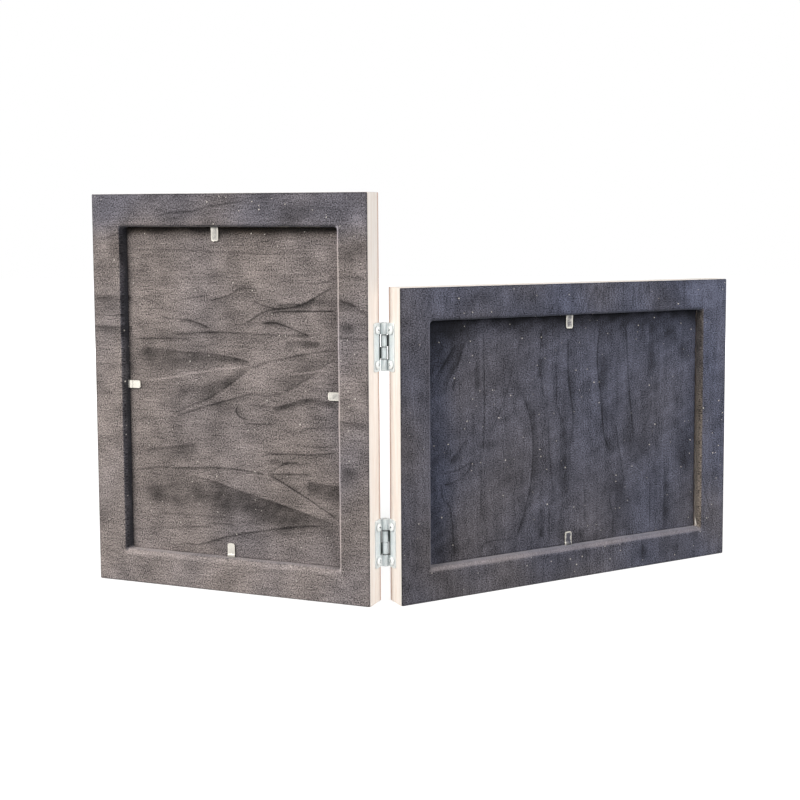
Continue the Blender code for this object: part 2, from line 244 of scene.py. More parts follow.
def noise(tree, vector, scale, detail=2.0, roughness=0.5):
    """The grey value of a Noise node, around 0.5."""
    inputs = {"Vector": vector, "Scale": scale, "Detail": detail, "Roughness": roughness}
    return add(tree, "ShaderNodeTexNoise", inputs).outputs[0]


def new_group(name, inputs, outputs):
    """An empty node group. inputs and outputs map names to (socket type, default value)."""
    tree = bpy.data.node_groups.new(name, "ShaderNodeTree")
    for in_out, sockets in (("INPUT", inputs), ("OUTPUT", outputs)):
        for title, (kind, value) in sockets.items():
            socket = tree.interface.new_socket(title, in_out=in_out, socket_type=f"NodeSocket{kind}")
            if value is not None:
                socket.default_value = value
    return tree, tree.nodes.new("NodeGroupInput").outputs, tree.nodes.new("NodeGroupOutput").inputs


def use(tree, group, inputs):
    """A node group placed in a tree, with its inputs filled. Returns its outputs."""
    return add(tree, "ShaderNodeGroup", inputs, node_tree=group).outputs


def new_material(name):
    """A material with a Principled BSDF. Returns the material, its tree and that shader."""
    material = bpy.data.materials.new(name)
    material.use_nodes = True
    tree = material.node_tree
    return material, tree, tree.nodes["Principled BSDF"]


# %% [markdown]
# ## Floor and light
# A plain pale floor, a soft key lamp from the upper left, a wide fill lamp from the right, a low
# lamp for the picture side, which the photograph doesn't show, and a faint cool light all round.
# The lamp's level is set so that a surface that faces it renders about as its colour is written.
# The white behind the object is only for the eye: camera rays, and rays that a metal or glass
# surface sends on, see white, while the light that falls on the object comes from the lamps.

# %% Floor, world and lamps
FLOOR_SIZE = 8.0
FLOOR_BELOW = 0.0002
GLOW_REACH = (0.3, 1.2)
GLOW_LEVELS = (0.72, 1.0)
LAMP_AIM = np.array((0.0, 0.0, 0.1))
SKY_LEVEL = 0.12
SKY_COLOUR = (0.84, 0.91, 1, 1)
WHITE = (1, 1, 1, 1)


class Lamp(NamedTuple):
    """A square lamp. A white surface that faces it renders at its level. Angles are in degrees."""

    name: str
    azimuth: float
    elevation: float
    distance: float
    size: float
    level: float
    tint: tuple
    mirrored: bool = True


# Seen from the other side, the low lamp would be mirrored in the top faces and hide their colour.
LAMPS = (
    Lamp("key", 47, 31, 1.7, 0.62, 0.78, (1, 0.97, 0.93)),
    Lamp("picture side", 180, 9, 1.6, 0.5, 0.75, (1, 0.99, 0.98), mirrored=False),
    Lamp("fill", -36, 28, 1.6, 0.9, 0.75, (1, 0.985, 0.97)),
)


def seen_rays(tree):
    """1 for rays from the camera and for those that metal or glass sends on, and 0 for others."""
    path = tree.nodes.new("ShaderNodeLightPath").outputs
    direct = sum_of(tree, "MAXIMUM", path["Is Camera Ray"], path["Is Glossy Ray"])
    return sum_of(tree, "MAXIMUM", direct, path["Is Transmission Ray"])


def add_lamp(lamp):
    """Stands a lamp at its place, aimed at the object."""
    light = bpy.data.lights.new(lamp.name, "AREA")
    light.size = lamp.size
    light.energy = lamp.level * (math.pi * lamp.distance) ** 2
    light.color = lamp.tint
    azimuth, elevation = math.radians(lamp.azimuth), math.radians(lamp.elevation)
    flat = math.cos(elevation)
    way = np.array((math.sin(azimuth) * flat, math.cos(azimuth) * flat, math.sin(elevation)))
    item = bpy.data.objects.new(lamp.name, light)
    item.location = LAMP_AIM + way * lamp.distance
    item.rotation_euler = (math.pi / 2 - elevation, 0, math.pi - azimuth)
    item.visible_glossy = lamp.mirrored
    bpy.context.scene.collection.objects.link(item)


def make_floor():
    """A wide square that glows a little more with the distance from the object."""
    half = FLOOR_SIZE / 2
    corners = [(x, y, -FLOOR_BELOW) for x, y in ((-half, -half), (half, -half), (half, half), (-half, half))]
    mesh = bpy.data.meshes.new("floor")
    mesh.from_pydata(corners, [], [(0, 1, 2, 3)])
    floor = bpy.data.objects.new("floor", mesh)
    bpy.context.scene.collection.objects.link(floor)
    material, tree, shader = new_material("pale floor")
    away = add(tree, "ShaderNodeVectorMath", {0: in_piece(tree)}, operation="LENGTH").outputs["Value"]
    glow = times(tree, seen_rays(tree), ramp(tree, away, *GLOW_REACH, *GLOW_LEVELS))
    inputs = {"Base Color": (0.5, 0.5, 0.5, 1), "Roughness": 0.95, "Specular IOR Level": 0.1}
    fill(tree, shader, inputs | {"Emission Color": WHITE, "Emission Strength": glow})
    mesh.materials.append(material)


def make_world():
    """A faint sky for the light that falls on the object, and white for the rays that are seen."""
    world = bpy.data.worlds.new("studio")
    world.use_nodes = True
    tree = world.node_tree
    tree.nodes.clear()
    sky = add(tree, "ShaderNodeBackground", {"Color": SKY_COLOUR, "Strength": SKY_LEVEL})
    white = add(tree, "ShaderNodeBackground", {"Color": WHITE, "Strength": 1.0})
    both = add(tree, "ShaderNodeMixShader", {0: seen_rays(tree), 1: sky.outputs[0], 2: white.outputs[0]})
    add(tree, "ShaderNodeOutputWorld", {"Surface": both.outputs[0]})
    bpy.context.scene.world = world


make_floor()
make_world()
for lamp in LAMPS:
    add_lamp(lamp)
bpy.context.scene.view_settings.view_transform = "Standard"
print("floor, world and", len(LAMPS), "lamps")

# %% [markdown]
# ## Meshes from grids of points
# A surface with two directions is a grid of points, and its faces are only a rule: each point
# joins the next in both directions. So a shape is written as a formula for whole arrays, and one
# function turns any grid into a piece, with its cloth or grain coordinates and its attributes.

# %% Turn a grid of points into a piece


def grid_faces(rows, columns, round_rows=False, round_columns=False):
    """The quads of a grid, as point numbers. A round direction joins its last line to its first."""
    row = np.arange(rows if round_rows else rows - 1)
    column = np.arange(columns if round_columns else columns - 1)
    row, column = (each.ravel() for each in np.meshgrid(row, column, indexing="ij"))
    below, beside = (row + 1) % rows, (column + 1) % columns
    corners = (row * columns + column, below * columns + column)
    corners += (below * columns + beside, row * columns + beside)
    return np.stack(corners, axis=-1)


def inside_out(points, faces):
    """Whether a shape's quads look inwards.

    The sum of each quad's centre times its normal, taken from the shape's middle, is three times
    the volume, so its sign tells which way the faces look.
    """
    corner = points[faces] - points.mean(axis=0)
    normal = np.cross(corner[:, 2] - corner[:, 0], corner[:, 3] - corner[:, 1])
    return (corner.mean(axis=1) * normal).sum() < 0


def end_caps(rows, columns):
    """Two faces that close a grid at its first and last rows, turned the same way as its quads."""
    first = list(range(columns))
    return [first, [(rows - 1) * columns + point for point in reversed(first)]]


def new_piece(name, points, faces, material, uv=None, attributes=None, caps=(), sharp=40):
    """A smooth-shaded piece whose faces look outwards. points is any array of xyz.

    uv holds two numbers a point, attributes maps a name to one number a point, and caps are extra
    faces, turned the same way as the others.
    """
    points = np.asarray(points, dtype=float).reshape(-1, 3)
    if inside_out(points, faces):
        faces, caps = faces[:, ::-1], [cap[::-1] for cap in caps]
    mesh = bpy.data.meshes.new(name)
    mesh.from_pydata(points, [], [*faces.tolist(), *caps])
    if uv is not None:
        corner_points = np.empty(len(mesh.loops), dtype=np.int32)
        mesh.loops.foreach_get("vertex_index", corner_points)
        layer = mesh.uv_layers.new(name="cloth" if "cloth" in name else "grain")
        layer.uv.foreach_set("vector", np.asarray(uv).reshape(-1, 2)[corner_points].ravel())
    for title, values in (attributes or {}).items():
        numbers = mesh.attributes.new(title, "FLOAT", "POINT")
        numbers.data.foreach_set("value", np.asarray(values, dtype=np.float32).ravel())
    mesh.shade_smooth()
    mesh.set_sharp_from_angle(angle=math.radians(sharp))
    mesh.materials.append(material)
    piece = bpy.data.objects.new(name, mesh)
    bpy.context.scene.collection.objects.link(piece)
    return piece


def arc(centre, radius, start, end, steps):
    """Points on a circle from one angle to another, in degrees, both ends included."""
    angle = np.radians(np.linspace(start, end, steps + 1))
    return np.stack((centre[0] + radius * np.cos(angle), centre[1] + radius * np.sin(angle)), axis=-1)


def line(start, end, steps):
    """Evenly spaced points from start towards end, without the end itself."""
    share = np.arange(steps)[:, None] / steps
    return np.array(start) * (1 - share) + np.array(end) * share


def smooth_step(low, high, value):
    """0 below low, 1 above high, and an S-shaped rise between."""
    share = np.clip((value - low) / (high - low), 0, 1)
    return share * share * (3 - 2 * share)


def ripple(x, y, wave, seed):
    """A slow random waviness from -1 to 1: a few sine waves in seeded directions, added up."""
    draws = np.random.default_rng(seed)
    total = np.zeros(np.broadcast(x, y).shape)
    for _ in range(6):
        way, start = draws.uniform(0, 2 * math.pi, 2)
        size = wave * draws.uniform(0.6, 1.6)
        total += np.sin((x * math.cos(way) + y * math.sin(way)) * 2 * math.pi / size + start)
    return total / 3


# %% [markdown]
# ## Bare wood
# The mouldings are pale, bare, finely planed wood: cream with a little pink, with faint straight
# grain that runs along each rail. Stretched noise gives such grain: one slow pattern for the
# bands of the year's growth and one fine pattern for the pores. The grain follows the piece's
# own coordinates, in millimetres, so that every rail has it along its length.

# %% Shader groups that several finishes share


def grain_group():
    """Long streaks: noise stretched along the first axis. Puts out broad bands and fine pores."""
    inputs = {"Vector": ("Vector", None), "Broad": ("Float", 0.5), "Fine": ("Float", 3.0)}
    outputs = {"Bands": ("Float", None), "Pores": ("Float", None)}
    tree, given, result = new_group("grain", inputs, outputs)
    slow = noise(tree, stretched(tree, given["Vector"], (0.06, 1, 1)), given["Broad"], 3.0, 0.55)
    fast = noise(tree, stretched(tree, given["Vector"], (0.05, 1, 1)), given["Fine"], 2.0, 0.6)
    tree.links.new(slow, result["Bands"])
    tree.links.new(fast, result["Pores"])
    return tree


def smudge_group():
    """Soft cloudy marks at two sizes, from 0 to 1, for touched and slightly uneven surfaces."""
    inputs = {"Vector": ("Vector", None), "Size": ("Float", 30.0)}
    tree, given, result = new_group("smudge", inputs, {"Clouds": ("Float", None)})
    big = noise(tree, given["Vector"], given["Size"], 3.0, 0.6)
    small = noise(tree, given["Vector"], times(tree, given["Size"], 6.0), 2.0, 0.5)
    tree.links.new(sum_of(tree, "ADD", times(tree, big, 0.7), times(tree, small, 0.3)), result["Clouds"])
    return tree


def lint_group():
    """Specks of lint: in a few cells of a Voronoi pattern, a spot round the cell's point."""
    inputs = {"Vector": ("Vector", None)}
    inputs |= {"Scale": ("Float", 0.2), "Share": ("Float", 0.08), "Radius": ("Float", 0.055)}
    tree, given, result = new_group("lint", inputs, {"Specks": ("Float", None)})
    bent = noise(tree, given["Vector"], 1.6, 2.0)
    moved = add(tree, "ShaderNodeVectorMath", {0: given["Vector"]}, operation="ADD")
    shift = add(tree, "ShaderNodeCombineXYZ", {0: bent, 1: sum_of(tree, "SUBTRACT", 1.0, bent)})
    tree.links.new(shift.outputs[0], moved.inputs[1])
    cells = {"Vector": moved.outputs[0], "Scale": given["Scale"]}
    cell = add(tree, "ShaderNodeTexVoronoi", cells, voronoi_dimensions="2D")
    drawn = add(tree, "ShaderNodeSeparateColor", {0: cell.outputs["Color"]}).outputs
    here = sum_of(tree, "LESS_THAN", drawn[0], given["Share"])
    radius = times(tree, given["Radius"], sum_of(tree, "ADD", drawn[1], 0.5))
    spot = ramp(tree, sum_of(tree, "DIVIDE", cell.outputs["Distance"], radius), 1.0, 0.6)
    bright = sum_of(tree, "MULTIPLY_ADD", drawn[2], 0.65, 0.35)
    tree.links.new(times(tree, times(tree, here, spot), bright), result["Specks"])
    return tree


GRAIN = grain_group()
SMUDGE = smudge_group()
LINT = lint_group()
print("shader groups:", GRAIN.name, SMUDGE.name, LINT.name)

# %% The wood's finish


def wood_material():
    """Cream bands and pinker pores along the grain, and a brown painted shade along the front arris."""
    material, tree, shader = new_material("bare pale wood")
    grain = use(tree, GRAIN, {"Vector": in_mm(tree, "grain"), "Broad": 0.42, "Fine": 2.6})
    bands = ramp(tree, grain["Bands"], 0.35, 0.68)
    base = mixed(tree, bands, colour(246, 240, 234), colour(238, 228, 219))
    pores = ramp(tree, grain["Pores"], 0.55, 0.75, 0.0, 0.35)
    base = mixed(tree, pores, base, colour(224, 198, 182))
    # Painted shade: brown along the front arris of the hinge-side rails, where the rounded edge turns away.
    base = mixed(tree, times(tree, attribute(tree, "handled"), 0.9), base, colour(186, 138, 116))
    rough = ramp(tree, grain["Pores"], 0.3, 0.7, 0.5, 0.68)
    inputs = {"Base Color": base, "Roughness": rough, "Specular IOR Level": 0.35}
    fill(tree, shader, inputs | {"Normal": bumped(tree, grain["Pores"], 0.25, 0.00006)})
    return material


WOOD = wood_material()
print("made", WOOD.name)

# %% [markdown]
# ## Rails
# A real rail is a length of moulding: one section planed along it, cut at 45 degrees at both ends
# and nailed to its neighbours. Here the section is a closed outline with its edges eased, and the
# piece is that outline carried along the rail. A mitre needs no cutting: at each inset from the
# outer side the rail is shorter by that inset at each end, so the ends come out sheared.

# %% Rails
WOOD_BACK = FRAME_THICKNESS - VELVET_THICKNESS - 0.00002
REBATE_WALL = 0.0172
EASED = 0.0003
REBATE_ROUND = 0.0014
MITRE_LINE = 0.00006
RAIL_STATIONS = 41
GRAIN_SHIFT = (0.31, 0.07)


def rail_section():
    """The moulding's outline as (inset, depth), with the front arris, sight bevel, lip and rebate."""
    arris, sight = FRONT_ARRIS, MOULDING_WIDTH
    bevel_start = sight - SIGHT_BEVEL_WIDTH
    tilt = math.degrees(math.atan2(SIGHT_BEVEL_DEPTH, SIGHT_BEVEL_WIDTH))
    return np.concatenate(
        (
            line((sight - EASED, LIP_THICKNESS), (REBATE_WALL, LIP_THICKNESS), 4),
            line((REBATE_WALL, LIP_THICKNESS), (REBATE_WALL, WOOD_BACK - REBATE_ROUND), 6),
            arc((REBATE_WALL - REBATE_ROUND, WOOD_BACK - REBATE_ROUND), REBATE_ROUND, 0, 90, 6),
            line((REBATE_WALL - REBATE_ROUND, WOOD_BACK), (EASED, WOOD_BACK), 6)[1:],
            arc((EASED, WOOD_BACK - EASED), EASED, 90, 180, 3),
            line((0, WOOD_BACK - EASED), (0, arris), 8)[1:],
            arc((arris, arris), arris, 180, 270, 8),
            line((arris, 0), (bevel_start, 0), 8)[1:],
            arc((sight - 2 * EASED, SIGHT_BEVEL_DEPTH + EASED), EASED * 2, 270 + tilt, 360, 4),
            arc((sight - EASED, LIP_THICKNESS - EASED), EASED, 0, 90, 3)[:-1],
        )
    )


def rail_sides(made):
    """For each side: its name, its length, and a function from (along, inset) to (across, up)."""
    width, height = made.width, made.height
    return {
        "bottom": (width, lambda s, i: (width / 2 + s, i)),
        "top": (width, lambda s, i: (width / 2 + s, height - i)),
        "hinge_side": (height, lambda s, i: (i, height / 2 + s)),
        "outer_side": (height, lambda s, i: (width - i, height / 2 + s)),
    }


def make_rail(made, side, number):
    """The section carried along one side: along = share x (half the length - inset)."""
    length, turned = rail_sides(made)[side]
    section = rail_section()
    inset, depth = section[:, 0], section[:, 1]
    along = np.linspace(-1, 1, RAIL_STATIONS)[:, None] * (length / 2 - inset - MITRE_LINE)
    across, up = turned(along, inset)
    depth = np.broadcast_to(depth, along.shape)
    around = np.concatenate(((0,), np.cumsum(np.linalg.norm(np.diff(section, axis=0), axis=1))))
    around = np.broadcast_to(around + GRAIN_SHIFT[1] * number, along.shape)
    # Painted shade along the hinge-side rails' front arris, where the rounded edge turns away from the light.
    on_arris = smooth_step(0.0026, 0.0014, depth) * smooth_step(0.0009, 0.0005, inset)
    piece = new_piece(
        f"{made.name}_{side}_rail",
        place(made, across, depth, up),
        grid_faces(*along.shape, round_columns=True),
        WOOD,
        uv=np.stack((along + GRAIN_SHIFT[0] * number, around), axis=-1),
        attributes={"handled": on_arris * (side == "hinge_side")},
        caps=end_caps(*along.shape),
        sharp=50,
    )
    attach(piece, BODY[made])
    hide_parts(f"{made.name}_rail_{side}")


for made in FRAMES:
    for number, side in enumerate(rail_sides(made)):
        make_rail(made, side, number + (7 if made is LANDSCAPE else 0))
print("eight rails of", len(rail_section()), "points round and", RAIL_STATIONS, "along")

# %% [markdown]
# ## How the velvet's nap lies
# Velvet is a carpet of short threads, and a hand or a table that brushes it lays them over. The
# brushed places look darker or lighter, with one sharp side where the stroke ended and one that
# fades. A strip of cloth shows dozens of these streaks, and they are what makes it read as velvet.
# Each streak here is a smooth line through a few points, in millimetres from the frame's left
# edge and bottom as seen from behind. It gives a thin line and a shade that fades to one side.
# Both are worked out for a whole grid of points and kept as an attribute for the shader.

# %% Streaks and patches on the upright frame
# A streak is (line, shade, reach, path): how dark its thin line is, how dark its fading side is,
# how far that side reaches in millimetres, and the (x, z) points that it passes. The side is on
# the left of the path's way, or on the right where the reach is below 0. A shade or a reach may be
# a row of numbers, spread evenly along the path. A streak that is only a thin line leaves both out.
# A patch is (x, z, half width, half height, dark).
# The last patches of each frame are painted shadows of its tabs, under and just beside each tab.
# They stay as dark marks when a tab is bent up.
PORTRAIT_STREAKS = (
    (0.35, ((24, 189), (50, 189.2), (75, 188))),
    (0.30, ((110, 187), (130, 188.6), (149, 190))),
    (0.50, ((47, 160), (62, 162.8), (72, 164.3))),
    (0.50, 0.15, -4, ((71, 161), (83, 164), (90, 167.8), (96, 168.4), (103, 167.6))),
    (0.50, ((40, 152), (45, 150.5), (54, 150.5))),
    (0.55, 0.30, -2, ((51, 149), (56, 150.3), (61, 149.3), (71, 146.3))),
    (0.45, 0.12, -3, ((44, 142.1), (57, 142.5), (76, 143.8), (108, 143.1), (134, 143.3))),
    (0.55, 0.22, -4, ((90, 147.6), (96, 150.3), (103, 154.6), (111, 157.1), (127, 159.6), (149, 171))),
    (0.45, 0.35, -2.5, ((113, 159.3), (122, 160.3), (129, 160.3), (137, 164.4))),
    (0.40, ((108, 153.4), (115, 155.9), (149, 157.1))),
    (0.45, ((132, 171.5), (141, 172.1), (150, 175))),
    (0.50, ((98, 162), (103, 159.6), (111, 157.8), (116, 157.1))),
    (0.55, 0.15, -3, ((103, 149), (110, 150), (116, 149), (125, 145.9), (134, 142.8))),
    (0.30, ((96, 139.3), (106, 139.5))),
    (0.20, 0.45, -4, ((117, 140), (128, 140.4), (140, 140.2))),
    (0.30, (0.3, 0.4, 0.5, 0.6), (-16, -12, -9, -5, -2),
     ((26, 133.9), (30, 133.6), (56, 132.1), (71, 132), (84, 130.3), (99, 127.8))),
    (-0.60, ((27, 114.6), (47, 117.8), (66, 121.5), (79, 123.4), (91, 125), (99, 127.6))),
    (0.45, (0.1, 0.2, 0.4, 0.5, 0.5), (18, 14, 10, 6, 2),
     ((46, 96.5), (60, 102.8), (71, 107.1), (84, 115.3), (96, 124))),
    (0.55, ((96, 124), (107, 128.4), (116, 130.3), (134, 134), (150, 136))),
    (0.50, 0.12, -3, ((47, 95.3), (68, 102.1), (79, 105.3), (90, 108.4), (101, 112.1))),
    (0.35, (0.3, 0.4, 0.3, 0.15), (7, 10, 8, 4),
     ((116, 112), (122, 114.6), (132, 120.3), (143, 128.4), (150, 132))),
    (-0.45, ((119, 121.7), (128, 123), (137, 124.3), (142, 126))),
    (0.55, 0.15, 3, ((88.5, 104), (87, 100), (90, 97), (94, 95.8))),
    (0.35, 0.50, -2.8, ((108, 102.6), (118, 105.3), (126, 107.8), (134, 109), (149, 107))),
    (0.40, ((103, 109), (116, 111.5))),
    (0.45, ((126, 89.4), (129, 92.1), (136, 93.4), (149, 94.6))),
    (0.30, ((91, 93.5), (110, 94))),
    (0.35, ((127, 82.8), (141, 83.4), (148, 84))),
    (0.55, 0.15, -3, ((102, 75.8), (106, 77.4), (122, 78.4), (138, 79), (150, 81.6))),
    (0.30, 0.30, -5, ((26, 75), (38, 77.1), (52, 79), (63, 81))),
    (0.60, 0.12, -4, ((44, 65.9), (58, 66.8), (76, 68.1), (96, 67.1), (106, 66.5))),
    (0.55, ((106, 67), (111, 69.6), (118, 73.2), (126, 73.8))),
    (0.45, 0.15, -3, ((106, 66.5), (116, 67.1), (133, 68.2))),
    (0.60, 0.12, 3, ((106, 66.5), (113, 63.4), (122, 59), (136, 51.5), (150, 43.6))),
    (0.30, 0.45, -9, ((130, 63.8), (141, 62.8), (151, 62.6))),
    (0.30, (0.2, 0.5, 0.6, 0.6, 0.4), (-20, -18, -15, -12, -6),
     ((53, 63), (71, 60.3), (91, 55.3), (116, 49.6), (150, 40.5))),
    (0.30, ((66, 36), (86, 36.5))),
    (0.40, ((41, 31.5), (48, 32.1), (71, 34.6))),
    (0.55, 0.15, -6, ((43, 20.9), (54, 23.4), (64, 24), (81, 29.6), (103, 34.6), (128, 39), (142, 40.4))),
    (0.40, ((38, 205.6), (49, 209.3), (64, 210), (76, 212.9), (100, 216))),
    (0.35, ((42, 209.6), (47, 213.6), (57, 220))),
    (0.35, ((0, 194.6), (9, 195.7), (18, 198.6))),
    (0.25, ((0, 179), (18, 178.8))),
    (0.15, 0.40, -3.5, ((-4, 163.5), (22, 163))),
    (0.35, ((-2, 152), (20, 152))),
    (0.25, 0.40, -5.5, ((-4, 145.8), (22, 145.6))),
    (0.25, ((-2, 124), (20, 124))),
    (0.40, ((152, 175), (159, 175.7), (170, 173.8))),
    (0.40, ((150, 143), (172, 143))),
    (0.25, 0.30, -3, ((150, 99), (170, 98))),
    (0.30, ((75, 188), (110, 187))),
    (0.40, ((115, 156), (133, 156.6), (149, 157))),
    (0.40, ((21, 63.5), (34, 65.6), (44, 66.2))),
    (0.30, ((36, 39.5), (60, 40), (86, 40))),
    (0.35, ((21, 138.5), (40, 139.3), (60, 139.6))),
    (0.40, ((151, 164), (160, 161), (170, 156))),
)
PORTRAIT_PATCHES = (
    (43, 172, 5, 4, 0.2), (39, 159, 4, 3, 0.2), (72, 175, 8, 4, 0.25), (67, 155, 6, 3, 0.2),
    (35, 142, 8, 4, 0.2), (33, 137, 5, 3, 0.2), (108, 149.6, 5, 1.2, 0.4), (142, 160.5, 7, 3, 0.35),
    (80, 102, 6, 3.5, 0.3), (101, 104, 6, 1.5, 0.35), (24, 103, 4, 3, 0.2), (52, 107, 4, 4, 0.2),
    (110, 73, 4, 1.5, 0.3), (34, 29.5, 6, 4, 0.3), (50, 91, 5, 4, 0.15), (104, 84, 5, 4, 0.15),
    (48, 168, 7, 6, -0.2), (40, 26, 22, 10, -0.2), (127, 131.5, 6, 2, 0.35), (30, 50, 9, 7, 0.2),
    (157, 161, 5, 4, 0.4), (158, 148.5, 4.5, 3, 0.4), (161, 90.5, 7, 4.5, -0.2),
    (159, 72, 5, 3, 0.35), (165, 206, 6, 5, -0.25), (160, 192, 8, 10, 0.35), (132, 210, 24, 6, 0.2),
    (42, 53, 19, 8, 0.28), (68, 55, 12, 6, 0.12), (32, 134, 12, 12, 0.12),
    (81, 182, 12, 9, 0.1), (30, 42, 10, 10, -0.14), (9, 60, 8, 40, -0.1),
    (85, 9, 75, 8, -0.07), (14, 191, 5, 6, 0.28), (7, 158, 9, 5, 0.28), (8, 145.5, 8, 2.2, 0.25),
    (35, 110, 15, 7, 0.16), (72, 113, 14, 6, 0.14), (27, 129, 8, 5, 0.18), (50, 49, 24, 6, 0.18),
    (113, 73.5, 9, 2, 0.22), (160, 190, 7, 6, 0.2), (159, 160.5, 6, 3, 0.2), (159, 149.5, 6, 2.5, 0.2),
    # Painted shadows of the upright frame's four tabs.
    (76.7, 197.4, 2.7, 4.2, 0.45), (83.9, 21.2, 2.7, 4.2, 0.45),
    (22.6, 112, 4.2, 2.7, 0.45), (148.2, 110.6, 4.2, 2.7, 0.45),
)
print(len(PORTRAIT_STREAKS), "streaks and", len(PORTRAIT_PATCHES), "patches on the upright frame")

# %% Streaks and patches on the lying frame
LANDSCAPE_STREAKS = (
    (0.45, ((53.5, 145), (53.5, 129), (54, 104), (53, 74))),
    (0.20, 0.35, 3, ((48.8, 129), (48, 116), (47.9, 110))),
    (0.30, 0.35, -3, ((42, 140), (38, 129), (33.5, 121.5), (30, 114.6))),
    (-0.25, ((44, 140), (40, 129), (35.5, 121.5), (32.5, 115))),
    (0.35, ((36, 120), (34, 113))),
    (0.40, 0.12, -4, ((69.8, 125), (71, 119), (65.4, 103), (57, 85.6))),
    (0.30, ((77, 140), (74.8, 128))),
    (0.35, ((90.4, 141.5), (92.3, 132.8))),
    (0.20, 0.35, 3, ((89.8, 128), (88.5, 116))),
    (0.35, ((91, 119), (91.6, 109), (93.5, 105))),
    (0.45, 0.34, (1, 3, 4.5, 4.5, 3, 1),
     ((77, 111), (83.5, 94), (85.4, 76.5), (83.5, 54), (77.3, 34), (73, 23))),
    (0.40, ((96, 95), (95.8, 84), (97.3, 64), (100, 47))),
    (0.40, 0.12, -3, ((101, 125), (101, 112.8), (101.6, 100), (106, 89))),
    (0.55, 0.15, 3, ((109, 141), (109, 116.5), (112.3, 94), (111, 76))),
    (0.60, 0.18, 4, ((131, 146), (129, 125), (131.6, 104), (134, 81.5), (139, 68))),
    (0.50, ((149, 146), (151, 119), (152.9, 97.8), (155.4, 78))),
    (0.40, 0.12, -3, ((142, 87), (146, 66.5), (148.6, 51))),
    (0.40, ((138.5, 47), (139, 39), (141, 31.5), (141, 20))),
    (0.15, 0.30, 4, ((167, 146), (166, 128), (165.4, 111))),
    (0.35, ((168, 102), (168, 94), (163.5, 82.8), (161, 78))),
    (0.20, ((171.6, 117), (172.5, 66))),
    (0.40, ((168, 52), (168, 18))),
    (0.15, 0.35, 4, ((178.5, 60), (178, 18))),
    (0.35, 0.30, -3, ((32, 73.6), (37, 79), (42.6, 85.6))),
    (0.45, ((27, 67.7), (37, 69), (46, 72.8))),
    (0.50, 0.15, -3, ((27.6, 61.4), (36, 62.8), (43.5, 67.8), (46, 74))),
    (0.40, ((27, 64.6), (28, 54), (32.3, 47.8), (35.4, 21))),
    (0.35, ((52.3, 60), (51.6, 47.8), (55, 35))),
    (0.35, ((50.6, 22.4), (56, 26.5), (73, 26.5))),
    (0.15, 0.35, 3, ((90, 42), (91, 34), (89.8, 24))),
    (0.35, ((96.5, 41), (96.6, 21))),
    (0.35, ((119.8, 57), (121, 41.5), (121, 28))),
    (-0.30, ((146, 59), (153, 61.5), (163, 54))),
    (0.30, ((38, 153), (43, 161), (50, 169))),
    (0.40, 0.15, 4, ((125, 169), (120, 161.4), (117.5, 153))),
    (0.35, ((150, 168), (150.7, 161), (148.6, 153))),
    (0.30, ((164, 153), (167, 165))),
    (0.40, ((127.5, 166), (122.7, 154))),
    (0.30, ((155, 169), (154.3, 158))),
    (0.35, ((131, 168), (128, 158))),
    (0.35, 0.15, 3, ((36.6, 139), (29, 128), (23.5, 120))),
    (0.25, ((39.8, 135), (34.8, 116.5), (35, 104))),
    (0.35, ((91, 144), (89.8, 126))),
    (0.35, ((98.6, 161.5), (91.5, 153))),
    (0.40, ((118.6, 167), (114.3, 153))),
    (0.30, ((143, 168), (143, 153))),
    (0.35, ((203, 48), (208, 32), (214, 14))),
    (0.30, ((212, 148), (213, 130), (211, 112))),
    (0.30, ((187, 170), (188, 153))),
    (0.30, ((100, 17), (98.4, 9))),
    (0.30, ((108.8, 12), (105.6, 0))),
    (0.30, ((158.6, 14), (159, 2))),
)
LANDSCAPE_PATCHES = (
    (106.6, 71, 4, 24, 0.55), (134, 118, 4.5, 9, 0.42), (136.5, 92.5, 4, 5, 0.38), (141, 73.5, 4.5, 5.5, 0.3),
    (151, 76.5, 5, 9, 0.35), (143.5, 51, 5.5, 7.5, 0.35), (180, 135, 6, 7, 0.2), (193, 126, 6, 7, 0.2),
    (193, 64, 7, 12, 0.35), (145, 115.5, 7, 7, -0.25), (127, 101.5, 6, 5, -0.25), (61, 104, 7, 8, -0.25),
    (187, 118, 7, 5, -0.25), (124, 51.5, 6, 5, -0.25), (81, 119, 7, 8, -0.25), (157, 159, 9, 7, -0.25),
    # The patch at (31, 140) is painted shade in the corner by the hinge-side and top walls.
    (203, 160, 18, 8, -0.25), (117.5, 13, 5, 4.5, 0.3), (97, 130, 14, 12, 0.1), (31, 140, 15, 15, 0.28),
    (179, 161, 10, 8, 0.22), (83, 160, 5, 6, 0.25), (40, 161, 6, 6, 0.15), (109, 158, 9, 6, -0.15),
    (52, 163, 6, 4, 0.2), (157, 70, 6, 7, 0.28), (149, 38, 8, 11, 0.16), (168, 110, 4.5, 30, 0.16),
    (183, 138, 6, 6, 0.16), (192, 128, 4, 5, 0.25), (196, 52, 5, 18, 0.12), (90, 30, 2.5, 12, 0.3),
    (103.5, 28, 4, 8, 0.3), (116, 23, 5, 5, 0.3), (25, 32, 6, 14, 0.2), (34.5, 30, 3, 10, 0.25),
    (57.5, 81.5, 6, 2.5, 0.3), (88.5, 46, 4, 6, -0.18), (156, 53, 8, 5, -0.15), (7, 85, 7, 14, 0.12),
    (159, 9, 2.5, 7, 0.28), (172.5, 9, 2, 7, 0.28), (183.5, 9, 2.5, 6, 0.22), (147, 9, 5, 6, -0.15),
    # Painted shadows of the lying frame's two tabs.
    (109.9, 147.4, 2.7, 4.2, 0.45), (109.6, 21.4, 2.7, 4.2, 0.45),
)
print(len(LANDSCAPE_STREAKS), "streaks and", len(LANDSCAPE_PATCHES), "patches on the lying frame")

# %% [markdown]
# Two sums turn the streaks into numbers. For every grid point, the nearest place on a streak gives
# a distance, a side and a share of the streak's length. The thin line is a bell curve of the
# distance, the shade fades with it on one side only, and both die away towards the ends.

